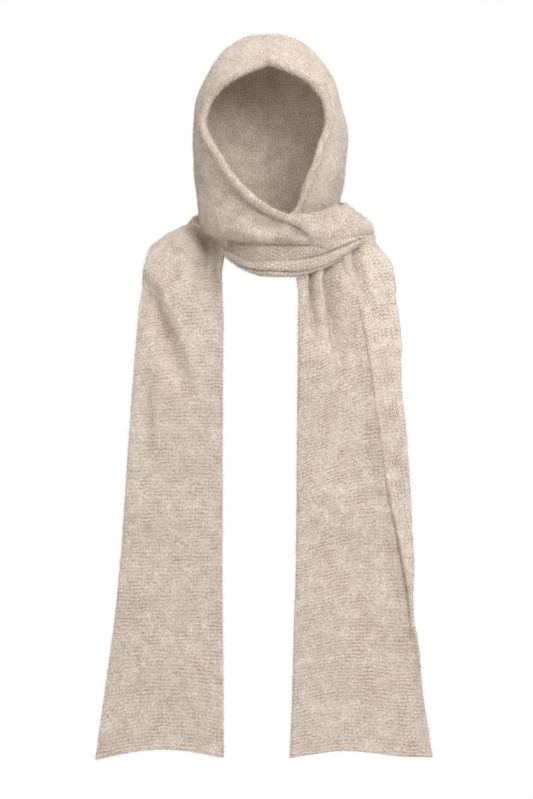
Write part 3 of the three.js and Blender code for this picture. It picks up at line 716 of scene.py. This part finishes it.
# Sheets of knit: the samples that measure a line, the share of it over which its direction is
# taken, and how far apart its points lie, closer at rounded, rolled and butted edges
SAMPLES = 121
NEARBY = 0.002
SPACING = 0.0034
SEAM_SPACING = 0.0025
PLAIN_STEPS = (0, 0.0003, 0.0010, 0.0020, 0.0034)
ROLL_STEPS = (0, 0.0003, 0.0011, 0.0024, 0.0040, 0.0056, 0.0072, 0.0090, 0.0110)
BUTT_STEPS = (0, 0.0001, 0.0008)
RIDGE_STEPS = PLAIN_STEPS[:3]


def run_along(points):
    """The distance from the first point of each line to its other points."""
    steps = np.linalg.norm(np.diff(points, axis=-2), axis=-1)
    return np.concatenate([np.zeros(steps.shape[:-1] + (1,)), np.cumsum(steps, axis=-1)], axis=-1)


def spaced(length, spacing, first, last):
    """Distances over each length: the given steps at both ends, and even ones between."""
    length = np.asarray(length, float)[..., None]
    first, last = np.array(first), np.array(last)
    room = np.minimum(1, 0.8 * length / (first[-1] + last[-1]))
    count = int(np.ceil((length.max() - first[-1] - last[-1]) / spacing)) + 1
    start = first * room
    stop = length - last[::-1] * room
    between = mix(start[..., -1:], stop[..., :1], np.linspace(0, 1, count + 1)[1:-1])
    return np.concatenate([start, between, stop], axis=-1)


def rounded(distance, size):
    """The half thickness, as a share, of an edge that is rounded over a size."""
    return np.sqrt(1 - (1 - np.clip(distance / size, 0, 1)) ** 2)


def tapered(half, size, *distances):
    """The half thickness once it is rounded over a size at each of the edges."""
    for distance in distances:
        half = half * rounded(distance, size)
    return half


def rolled(distance, roll):
    """The half thickness of an edge that has rolled up into a bead."""
    flat = mix(roll, KNIT / 2, smoothstep(roll, ROLL_FADES * roll, distance))
    return np.where(distance < roll, roll * rounded(distance, roll), flat)


class Sheet:
    """A grid of points over a surface, with its distances, its normals and its shell."""

    def __init__(self, points_at, spacing, ends, sides):
        shares = np.linspace(0, 1, SAMPLES)
        length = run_along(points_at(shares, np.full_like(shares, 0.5)))
        self.from_start = spaced(length[-1], spacing, *ends)[:, None]
        self.to_end = length[-1] - self.from_start
        along = np.interp(self.from_start, length, shares)
        width = run_along(points_at(along, shares[None, :]))
        self.from_edge = spaced(width[:, -1], spacing, *sides)
        self.to_side = width[:, -1:] - self.from_edge
        across = np.stack([np.interp(d, w, shares) for d, w in zip(self.from_edge, width)])
        along = np.broadcast_to(along, across.shape)
        self.points = points_at(along, across)
        ahead = points_at(np.minimum(along + NEARBY, 1), across)
        behind = points_at(np.maximum(along - NEARBY, 0), across)
        right = points_at(along, np.minimum(across + NEARBY, 1))
        left = points_at(along, np.maximum(across - NEARBY, 0))
        self.normals = unit(np.cross(ahead - behind, right - left))

    def rise(self, amount):
        """Moves the points along their normals."""
        self.points = self.points + self.normals * amount[..., None]

    def shell(self, half, facing, strip_width):
        """The vertices, faces, knit coordinates and sides of a closed wall round the grid."""
        wales = self.from_edge / (self.from_edge + self.to_side) * strip_width
        knit = np.stack(np.broadcast_arrays(wales, self.from_start), axis=-1).reshape(-1, 2)
        reach = self.normals * (half * facing)[..., None]
        vertices, quads, layers = closed_wall(self.points + reach, self.points - reach, facing)
        return vertices, quads, np.concatenate([knit, knit]), layers


def closed_wall(face, reverse, way):
    """A wall between two grids of points that meet at their borders: its vertices, its faces,
    and which faces are on its reverse. Way is -1 where the face side looks back."""
    lines, places = face.shape[:2]
    vertices = np.concatenate([face, reverse]).reshape(-1, 3)
    face_side = np.arange(lines * places).reshape(lines, places)
    reverse_side = face_side + lines * places
    for edge in (np.s_[0, :], np.s_[-1, :], np.s_[:, 0], np.s_[:, -1]):
        reverse_side[edge] = face_side[edge]
    quads = []
    for layer, turn in ((face_side, way), (reverse_side, -way)):
        corners = (layer[:-1, :-1], layer[1:, :-1], layer[1:, 1:], layer[:-1, 1:])
        quads.append(np.stack([corner.ravel() for corner in corners], axis=-1)[:, ::turn])
    return vertices, np.concatenate(quads), np.repeat([0, 1], len(quads[0]))


def mesh_object(name, vertices, faces, materials, coordinates=None, sides=None):
    """A mesh object at the origin, with its knit coordinates as a UV map."""
    used, renumbered = np.unique(faces, return_inverse=True)
    faces = renumbered.reshape(faces.shape)
    mesh = bpy.data.meshes.new(name)
    mesh.vertices.add(len(used))
    mesh.vertices.foreach_set("co", vertices[used].astype(np.float32).ravel())
    mesh.loops.add(faces.size)
    mesh.loops.foreach_set("vertex_index", faces.astype(np.int32).ravel())
    mesh.polygons.add(len(faces))
    starts = np.arange(0, faces.size, faces.shape[1], dtype=np.int32)
    mesh.polygons.foreach_set("loop_start", starts)
    for material in materials:
        mesh.materials.append(material)
    if sides is not None:
        mesh.polygons.foreach_set("material_index", sides.astype(np.int32))
    mesh.update(calc_edges=True)
    if coordinates is not None:
        layer = mesh.uv_layers.new(name="knit")
        layer.data.foreach_set("uv", coordinates[used][faces.ravel()].astype(np.float32).ravel())
    mesh.polygons.foreach_set("use_smooth", np.ones(len(faces), bool))
    if mesh.validate():
        raise RuntimeError(f"{name}: its mesh had faulty faces")
    piece = bpy.data.objects.new(name, mesh)
    bpy.context.scene.collection.objects.link(piece)
    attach(piece, "root")
    return piece


def loose_fibres(name, vertices, quads, shares, count, scene, seed):
    """A mesh of bent fibres that lie about on a knit, each of three triangles."""
    sizes = scene.snood_sizes
    random = np.random.default_rng(seed)
    a, b, c, d = (vertices[quads[:, i]] for i in range(4))
    cross = np.cross(c - a, d - b)
    area = np.linalg.norm(cross, axis=1) * shares
    chosen = random.choice(len(quads), count, p=area / area.sum())
    p, q = random.random((2, count, 1))
    root = mix(mix(a[chosen], b[chosen], p), mix(d[chosen], c[chosen], p), q)
    normal = unit(cross[chosen])
    flat = unit(np.cross(normal, random.normal(size=(count, 3))))
    turned = np.cross(normal, flat)
    free = np.where(shares[chosen] > 1, EDGE_LIFT, 1)[:, None]
    length = sizes.fibre_length * random.uniform(0.35, 1, (count, 1)) ** 1.3
    lift = free * random.uniform(0.1, 0.9, (count, 1)) * random.random((count, 1))
    curl = random.normal(0, 0.7, (count, 1))
    settle = lift * random.uniform(-1, 0.8, (count, 1))
    middle = root + length / 2 * unit(flat + normal * lift)
    tip_way = unit(flat * np.cos(curl) + turned * np.sin(curl) + normal * settle)
    tip = middle + length / 2 * tip_way
    roll = random.uniform(-1.2, 1.2, (count, 1))
    broad = (turned * np.cos(roll) + normal * np.sin(roll)) * sizes.fibre_width / 2
    corners = np.stack([root - broad, root + broad, middle + broad, middle - broad, tip], axis=1)
    first = np.arange(count)[:, None] * corners.shape[1]
    triangles = np.concatenate([first + [0, 1, 2], first + [0, 2, 3], first + [3, 2, 4]])
    material = the_material("loose_alpaca_fibre", fibre_material, scene.snood_colours)
    return mesh_object(name, corners.reshape(-1, 3), triangles, [material])


# Materials
def add(tree, kind, settings=None, links=None):
    """Adds a shader node, sets its properties and inputs, and links its inputs to sockets, or
    to nodes by their first output."""
    node = tree.nodes.new(f"ShaderNode{kind}")
    for name, value in (settings or {}).items():
        if isinstance(name, str) and hasattr(node, name):
            setattr(node, name, value)
        else:
            node.inputs[name].default_value = value
    for name, source in (links or {}).items():
        socket = source.outputs[0] if isinstance(source, bpy.types.Node) else source
        tree.links.new(socket, node.inputs[name])
    return node


def new_material(name):
    """An empty material, its node tree and its place on the object."""
    material = bpy.data.materials.new(name)
    material.use_nodes = True
    tree = material.node_tree
    tree.nodes.clear()
    return material, tree, add(tree, "TexCoord").outputs["Object"]


def the_material(name, make, *settings):
    """The material of that name, which is made the first time that it is asked for."""
    return bpy.data.materials.get(name) or make(name, *settings)


# The rows of loose hand-fed yarn wander by up to 2 mm over about 17 mm
WANDER = 0.008
WANDER_SCALE = 60.0

# Scale, detail and roughness of tufts of brushed fibre about 2 mm across, of single fibres
# under 1 mm apart, and of places about 20 mm across where the brushing has left more fuzz
NOISE_KEYS = ("Scale", "Detail", "Roughness")
TUFTS = (420.0, 3.0, 0.62)
SINGLE_FIBRES = (1300.0, 2.0, 0.7)
PATCHES = (48.0, 4.0, 0.6)
FUZZ_VARIES = 0.14

# The stretch of a strip, in metres from its start, over which its thinner fuzz and painted shade fade
# out
SHADE_FADES_FROM, SHADE_FADES_TO = 0.14, 0.27

# How deep the stitches show. Then for each knit how far its stitches slant, how high the gaps between
# its columns are, how far fuzz fills it, and how much less fuzz it has near the start of its strip,
# which also darkens it there as painted shade
RELIEF = 0.0012
KNITS = {
    "brushed_alpaca_purl": (0.7, 0.4, 0.8, 0.0),
    "brushed_alpaca_knit": (1.5, 0.25, 0.75, 0.0),
    "pulled_alpaca_knit": (1.5, 0.25, 0.84, 0.45),
    "felted_alpaca_knit": (1.5, 0.25, 0.85, 0.16),
}
FACE_AND_REVERSE = {
    "ends": ("brushed_alpaca_purl", "brushed_alpaca_knit"),
    "hood": ("felted_alpaca_knit", "felted_alpaca_knit"),
    "wrap": ("pulled_alpaca_knit", "brushed_alpaca_knit"),
}


def stitch_height(tree, sizes, uv, place, slant, gap_level):
    """Height of the stitches from 0 between them to 1 on top. The slant makes purl bumps
    where it is small and V stitches where it is large."""
    noise = {"Scale": WANDER_SCALE, "Detail": 4.0}
    wander = add(tree, "TexNoise", noise, {"Vector": place}).outputs["Color"]
    half = -WANDER / 2
    centred = {"operation": "MULTIPLY_ADD", 1: (WANDER, WANDER, 0), 2: (half, half, 0)}
    shift = add(tree, "VectorMath", centred, {0: wander})
    moved = add(tree, "VectorMath", {"operation": "ADD"}, {0: uv, 1: shift})
    run = add(tree, "SeparateXYZ", {}, {0: moved}).outputs
    u = add(tree, "Math", {"operation": "DIVIDE", 1: sizes.wale}, {0: run["X"]})
    v = add(tree, "Math", {"operation": "DIVIDE", 1: sizes.course}, {0: run["Y"]})
    zigzag = add(tree, "Math", {"operation": "PINGPONG", 1: 0.5}, {0: u})
    phase = add(tree, "Math", {"operation": "MULTIPLY_ADD", 1: slant}, {0: zigzag, 2: v})
    turns = add(tree, "Math", {"operation": "MULTIPLY", 1: 2 * math.pi}, {0: phase})
    wave = add(tree, "Math", {"operation": "COSINE"}, {0: turns})
    rows = add(tree, "Math", {"operation": "MULTIPLY_ADD", 1: 0.5, 2: 0.5}, {0: wave})
    fall = {"From Min": 0.28, "From Max": 0.5, "To Min": 1.0, "To Max": gap_level}
    gap = add(tree, "MapRange", {"interpolation_type": "SMOOTHSTEP", **fall}, {"Value": zigzag})
    return add(tree, "Math", {"operation": "MULTIPLY"}, {0: rows, 1: gap})


def knit_material(name, scene, slant, gap_level, felt, thinning_and_shade):
    """Brushed alpaca knit: matt and soft, with its stitches showing through the fuzz, darker where it
    is thinly brushed, with painted shade down between its stitches and near the start of its strip,
    and with a pale sheen at its rim."""
    colours = scene.snood_colours
    material, tree, place = new_material(name)
    uv = add(tree, "UVMap", {"uv_map": "knit"})
    stitches = stitch_height(tree, scene.snood_sizes, uv, place, slant, gap_level)
    tufts, fibres, patches = (
        add(tree, "TexNoise", dict(zip(NOISE_KEYS, noise)), {"Vector": place})
        for noise in (TUFTS, SINGLE_FIBRES, PATCHES)
    )
    felting = {"To Min": felt - FUZZ_VARIES, "To Max": felt + FUZZ_VARIES}
    fuzzy = add(tree, "MapRange", {"From Min": 0.35, "From Max": 0.65, **felting}, {"Value": patches})
    # Near the start of each strip, at the throat, the fuzz is thinner, so the stitches show more and
    # the knit is darker: partly the yarn showing through and partly painted shade under the crossing
    # panel and among the folds
    run = add(tree, "SeparateXYZ", {}, {0: uv}).outputs["Y"]
    thinning_fade = {"From Min": SHADE_FADES_FROM, "From Max": SHADE_FADES_TO, "To Min": -thinning_and_shade, "To Max": 0.0}
    thinned_and_shaded = add(tree, "MapRange", thinning_fade, {"Value": run})
    covered = add(tree, "Math", {"operation": "ADD"}, {0: fuzzy, 1: thinned_and_shaded})
    height = add(tree, "Mix", {"data_type": "FLOAT"}, {0: covered, 2: stitches, 3: tufts})
    grain = add(tree, "Math", {"operation": "MULTIPLY_ADD", 1: 0.45}, {0: fibres, 2: height})
    # Thinly brushed places show more of the darker yarn, and where the stitches sink the colour
    # darkens too, as painted shade between them
    tone = add(tree, "Math", {"operation": "MULTIPLY_ADD", 1: 0.3}, {0: patches, 2: grain})
    shade = add(tree, "MapRange", {"From Min": 0.6, "From Max": 1.05}, {"Value": tone})
    yarns = {"data_type": "RGBA", 6: (*colours.depth, 1), 7: (*colours.yarn, 1)}
    colour = add(tree, "Mix", yarns, {0: shade}).outputs[2]
    faint = {"From Min": 0.3, "From Max": 0.7, "To Min": 0.96, "To Max": 1.04}
    mottle = add(tree, "MapRange", faint, {"Value": patches})
    mottled = add(tree, "VectorMath", {"operation": "SCALE"}, {0: colour, "Scale": mottle})
    raised = add(tree, "Bump", {"Distance": RELIEF}, {"Height": grain})
    matt = {"Roughness": 0.95, "IOR": 1.45, "Specular IOR Level": 0.15}
    sheen = {"Sheen Weight": 0.35, "Sheen Roughness": 0.55, "Sheen Tint": (*colours.fibre, 1)}
    surface = {"Base Color": mottled, "Normal": raised}
    shader = add(tree, "BsdfPrincipled", {**matt, **sheen}, surface)
    add(tree, "OutputMaterial", {}, {"Surface": shader})
    return material


def fibre_material(name, colours):
    """Loose alpaca fibre: matt, pale, and slightly uneven in colour from tuft to tuft."""
    material, tree, place = new_material(name)
    tone = add(tree, "TexNoise", dict(zip(NOISE_KEYS, TUFTS[:2])), {"Vector": place})
    pale = {"From Min": 0.34, "From Max": 0.66, "To Min": 0.35}
    lift = add(tree, "MapRange", pale, {"Value": tone})
    yarns = {"data_type": "RGBA", 6: (*colours.depth, 1), 7: (*colours.fibre, 1)}
    colour = add(tree, "Mix", yarns, {0: lift}).outputs[2]
    matt = {"Roughness": 0.85, "IOR": 1.5, "Specular IOR Level": 0.2}
    shader = add(tree, "BsdfPrincipled", matt, {"Base Color": colour})
    add(tree, "OutputMaterial", {}, {"Surface": shader})
    return material


def floor_material(name, colours):
    """Matt painted studio floor, pale, with the faint unevenness of a rolled coat."""
    material, tree, place = new_material(name)
    roller = add(tree, "TexNoise", {"Scale": 180.0, "Detail": 3.0}, {"Vector": place})
    raised = add(tree, "Bump", {"Strength": 0.15, "Distance": 0.0005}, {"Height": roller})
    paint = {"Base Color": (*colours.floor, 1), "Roughness": 0.8}
    shader = add(tree, "BsdfPrincipled", paint, {"Normal": raised})
    add(tree, "OutputMaterial", {}, {"Surface": shader})
    return material


def knit_sides(scene, kind):
    """The materials of a sheet's face and reverse, for the ends, the hood or the wrap."""
    names = FACE_AND_REVERSE[kind]
    return [the_material(name, knit_material, scene, *KNITS[name]) for name in names]


def knit_piece(name, scene, sheet, half, facing, strip_width, kind, fibres, seed):
    """A sheet's closed wall and its loose fibres, as two pieces."""
    vertices, quads, coordinates, sides = sheet.shell(half, facing, strip_width)
    materials = knit_sides(scene, kind)
    knit = mesh_object(f"{name}_knit", vertices, quads, materials, coordinates, sides)
    near_edge = np.minimum(sheet.from_edge, sheet.to_side)[1:, 1:].ravel() < EDGE_STRIP
    shares = np.where(sides == 0, 1.0, REVERSE_SHARE)
    shares = shares * np.where(np.tile(near_edge, 2), EDGE_SHARE, 1.0)
    return knit, loose_fibres(f"{name}_fuzz", vertices, quads, shares, fibres, scene, seed)


# Pieces
class SNOOD_OT_hood(bpy.types.Operator):
    """Make both halves of the hood, with the edge that rolls up round the face opening"""

    bl_idname = "snood.hood"
    bl_label = "Hood"

    def execute(self, context):
        self.half(context.scene, "left", left_hood_points, LEFT_HOOD_CUT, 1, -1)
        self.half(context.scene, "right", right_hood_points, RIGHT_HOOD_CUT, -1, 1)
        return {"FINISHED"}

    def half(self, scene, side, points_at, cut, facing, hand):
        """One half, which keeps to its own side of the seam. Hand is -1 on the left."""
        roll = scene.snood_sizes.edge_roll
        sheet = Sheet(points_at, SPACING, (PLAIN_STEPS, BUTT_STEPS), (ROLL_STEPS, BUTT_STEPS))
        half = tapered(rolled(sheet.from_edge, roll), KNIT / 2, sheet.from_start)
        half = tapered(half, SEAM_GAP, sheet.to_end, sheet.to_side)
        free = smoothstep(0, HOOD_HELD, sheet.to_end) * smoothstep(0, HOOD_HELD, sheet.to_side)
        lumps = waves(sheet.from_edge, sheet.from_start, HOOD_LUMPS, SEED + hand)
        sheet.rise(lumps * free)
        rolled_in = smoothstep(0.5 * roll, ROLL_FADES * roll, sheet.from_edge)
        sheet.rise(facing * 0.5 * roll * (1 - rolled_in))
        x, y, z = (sheet.points[..., i] for i in range(3))
        seam = hand * SEAM_GAP / 2 - lean_at(TOP - z)
        # Over the crown and behind it each half keeps to its own side of the seam
        seamed_level = TOP - DROP * LEFT_EDGES["front_drop"](SEAMED_FROM)
        held = hand * np.maximum(hand * x, hand * seam)
        sheet.points[..., 0] = np.where((z > seamed_level) | (y > 0), held, x)
        knit, fuzz = knit_piece(
            f"hood_{side}", scene, sheet, half, facing, HOOD_STRIP, "hood", HOOD_FIBRES, SEED + hand
        )
        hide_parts(f"hood_{side}", f"hood_{side}_edge")


class SNOOD_OT_crown_seam(bpy.types.Operator):
    """Make the low ridge of the seam over the crown and down the back of the head"""

    bl_idname = "snood.crown_seam"
    bl_label = "Crown seam"

    def execute(self, context):
        scene = context.scene
        ends, sides = (PLAIN_STEPS, PLAIN_STEPS), (RIDGE_STEPS, RIDGE_STEPS)
        sheet = Sheet(seam_points, SEAM_SPACING, ends, sides)
        half = tapered(SEAM_HEIGHT / 2, SEAM_TAPER, sheet.from_start, sheet.to_end)
        half = tapered(half, SEAM_WIDTH / 2, sheet.from_edge, sheet.to_side)
        vertices, quads, coordinates, sides = sheet.shell(half, 1, SEAM_WIDTH)
        materials = knit_sides(scene, "hood")
        seam = mesh_object("crown_seam_ridge", vertices, quads, materials, coordinates, sides)
        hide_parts("crown_seam")
        return {"FINISHED"}


class SNOOD_OT_neck_wrap(bpy.types.Operator):
    """Make the folds at the throat and the band over the shoulder and round the back"""

    bl_idname = "snood.neck_wrap"
    bl_label = "Folds round the neck"

    def execute(self, context):
        scene = context.scene
        degrees = np.linspace(WRAP_START, WRAP_END, WRAP_SECTIONS)
        outs, ups, hollows = wrap_section(degrees)
        line = wrap_line(degrees)
        out = wrap_out(degrees)[:, None, :]
        outer = np.arange(outs.shape[1]) < outs.shape[1] - len(BAND_PLACES)
        ahead = np.broadcast_to(run_along(line)[:, None], outs.shape)
        uneven = waves(ups, ahead, WRAP_LUMPS, SEED + 8) * outer
        rings = line[:, None, :] + out * (outs + uneven)[..., None]
        rings[..., 2] = ups
        inside = line[:, None, :] + out * hollows[..., None]
        inside[..., 2] = ups
        # The strip lies double, so its two long edges meet at the top, and its wall closes
        # there and at its two ends
        inside[:, [0, -1]] = rings[:, [0, -1]]
        inside[[0, -1]] = rings[[0, -1]]
        coordinates = np.stack([run_along(rings), ahead], axis=-1).reshape(-1, 2)
        vertices, quads, sides = closed_wall(rings, inside, -1)
        coordinates = np.concatenate([coordinates, coordinates])
        knit = mesh_object(
            "neck_wrap_knit", vertices, quads, knit_sides(scene, "wrap"), coordinates, sides
        )
        shares = np.tile(np.where(outer[1:], 1.0, INSIDE_SHARE), len(outs) - 1)
        shares = np.concatenate([shares, np.zeros(len(quads) // 2)])
        fuzz = loose_fibres(
            "neck_wrap_fuzz", vertices, quads, shares, WRAP_FIBRES, scene, SEED + 3
        )
        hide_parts("neck_wrap")
        return {"FINISHED"}


def end_thickness(sheet, side_half):
    """Half the thickness of an end: a firmer band along its inner edge and a round hem."""
    band = smoothstep(BAND_FROM, BAND_TO, sheet.from_edge)
    half = mix(INNER_EDGE, KNIT / 2, band) * rounded(sheet.from_edge, INNER_EDGE)
    half = half * rolled(sheet.to_side, side_half) / (KNIT / 2)
    hem = 1 + HEM_SWELL * dent(sheet.to_end, HEM_PLACE, HEM_HALF_WIDTH)
    return half * rounded(sheet.to_end, KNIT / 2) * hem


def end_piece(scene, name, points_at, side_half, facing, strip_width, fibres, seed):
    """An end and its loose fibres. Its soft knit stands out of its plain form in waves."""
    sheet = Sheet(points_at, SPACING, (BUTT_STEPS, PLAIN_STEPS), (PLAIN_STEPS, PLAIN_STEPS))
    half = end_thickness(sheet, side_half)
    slow = waves(sheet.from_edge, sheet.from_start, END_LUMPS, seed)
    quick = waves(sheet.from_edge, sheet.from_start, END_RIPPLES, seed + 20)
    sheet.rise((slow + quick) * smoothstep(0, END_HELD, sheet.from_start))
    return knit_piece(name, scene, sheet, half, facing, strip_width, "ends", fibres, seed)


class SNOOD_OT_left_end(bpy.types.Operator):
    """Make the end that comes over the left shoulder"""

    bl_idname = "snood.left_end"
    bl_label = "Left end"

    def execute(self, context):
        form = (left_end_points, OUTER_EDGE, -1, LEFT_STRIP)
        knit, fuzz = end_piece(context.scene, "left_end", *form, LEFT_END_FIBRES, SEED + 5)
        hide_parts("left_end", "left_end_edge", "left_end_hem")
        return {"FINISHED"}


class SNOOD_OT_right_end(bpy.types.Operator):
    """Make the pleated end that comes out from under the folds, with its edge turned over"""

    bl_idname = "snood.right_end"
    bl_label = "Right end"

    def execute(self, context):
        form = (right_end_points, TURNED_EDGE, 1, RIGHT_STRIP)
        knit, fuzz = end_piece(context.scene, "right_end", *form, RIGHT_END_FIBRES, SEED + 6)
        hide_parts("right_end", "right_end_edge", "right_end_hem")
        return {"FINISHED"}


# The floor at standing height, the light of the dim room, and the area lights: each one's
# place, the point that it faces, its size and its power in watts
FLOOR_SIZE = 3.0
FLOOR_LEVEL = -1.65
ROOM = (0.34, 0.31, 0.275, 1)
WHITE = (1, 1, 1, 1)
LIGHTS = (
    ("key_light", (1.0, -3.0, 0.95), (0, 0, -0.15), 1.4, 72),
    ("top_light", (0.4, -0.7, 2.3), (0, 0, -0.2), 1.5, 42),
    ("front_light", (-1.2, -5.0, 0.1), (0, 0, -0.3), 2.4, 44),
    ("left_light", (-2.4, 0.1, 0.2), (0, 0, -0.25), 1.2, 14),
    ("right_light", (2.4, 0.1, 0.3), (0, 0, -0.2), 1.2, 18),
    ("back_light", (-0.9, 2.8, 1.7), (0, 0, -0.4), 2.0, 44),
)


class SNOOD_OT_stage(bpy.types.Operator):
    """Make the floor, the studio light and the camera"""

    bl_idname = "snood.stage"
    bl_label = "Stage"

    def execute(self, context):
        scene = context.scene
        bpy.ops.mesh.primitive_plane_add(size=FLOOR_SIZE, location=(0, 0, FLOOR_LEVEL))
        floor = context.active_object
        floor.name = "studio_floor"
        bpy.ops.object.transform_apply(location=True, rotation=True, scale=True)
        floor.data.materials.append(
            the_material("matt_studio_paint", floor_material, scene.snood_colours)
        )
        for name, place, aim, size, power in LIGHTS:
            lamp = bpy.data.lights.new(name, "AREA")
            lamp.size = size
            lamp.energy = power
            light = bpy.data.objects.new(name, lamp)
            light.location = place
            x, y, z = np.array(aim) - np.array(place)
            light.rotation_euler = (math.atan2(math.hypot(x, y), -z), 0, math.atan2(-x, y))
            scene.collection.objects.link(light)
        self.surroundings(scene)
        self.camera(scene)
        return {"FINISHED"}

    def surroundings(self, scene):
        """White paper behind the object for the camera, and a dim warm room to the knit."""
        world = bpy.data.worlds.new("studio")
        scene.world = world
        world.use_nodes = True
        tree = world.node_tree
        tree.nodes.clear()
        rays = add(tree, "LightPath").outputs["Is Camera Ray"]
        room = add(tree, "Mix", {"data_type": "RGBA", 6: ROOM, 7: WHITE}, {0: rays})
        light = add(tree, "Background", {}, {"Color": room.outputs[2]})
        add(tree, "OutputWorld", {}, {"Surface": light})
        scene.view_settings.view_transform = "Standard"

    def camera(self, scene):
        """The photo's level view, with its frame as high as the image at the object's front."""
        view = bpy.data.cameras.new("photo_view")
        view.sensor_width = SENSOR_WIDTH
        view.lens = view.sensor_width * CAMERA_DISTANCE / (IMAGE_HEIGHT * PIXEL)
        camera = bpy.data.objects.new("photo_view", view)
        camera.location = (MIDDLE_X, OBJECT_FRONT - CAMERA_DISTANCE, MIDDLE_Z)
        camera.rotation_euler = (QUARTER_TURN, 0, 0)
        scene.collection.objects.link(camera)
        scene.camera = camera


class SNOOD_PT_sidebar(bpy.types.Panel):
    """Sizes, colours and the steps in order"""

    bl_idname = "SNOOD_PT_sidebar"
    bl_label = "Snood hood"
    bl_space_type = "VIEW_3D"
    bl_region_type = "UI"
    bl_category = "Snood hood"

    def draw(self, context):
        for group in (context.scene.snood_sizes, context.scene.snood_colours):
            for key in group.__annotations__:
                self.layout.prop(group, key)
        for step in STEPS:
            self.layout.operator(step.bl_idname)


GROUPS = (SnoodSizes, SnoodColours)
STEPS = (
    SNOOD_OT_hood,
    SNOOD_OT_crown_seam,
    SNOOD_OT_neck_wrap,
    SNOOD_OT_left_end,
    SNOOD_OT_right_end,
    SNOOD_OT_stage,
)


def register():
    for part in (*GROUPS, *STEPS, SNOOD_PT_sidebar):
        bpy.utils.register_class(part)
    bpy.types.Scene.snood_sizes = PointerProperty(type=SnoodSizes)
    bpy.types.Scene.snood_colours = PointerProperty(type=SnoodColours)


def unregister():
    del bpy.types.Scene.snood_sizes
    del bpy.types.Scene.snood_colours
    for part in (SNOOD_PT_sidebar, *STEPS, *GROUPS):
        bpy.utils.unregister_class(part)


def main():
    register()
    bpy.ops.object.select_all(action="DESELECT")
    bpy.ops.snood.hood()
    bpy.ops.snood.crown_seam()
    bpy.ops.snood.neck_wrap()
    bpy.ops.snood.left_end()
    bpy.ops.snood.right_end()
    bpy.ops.snood.stage()


if __name__ == "__main__":
    main()
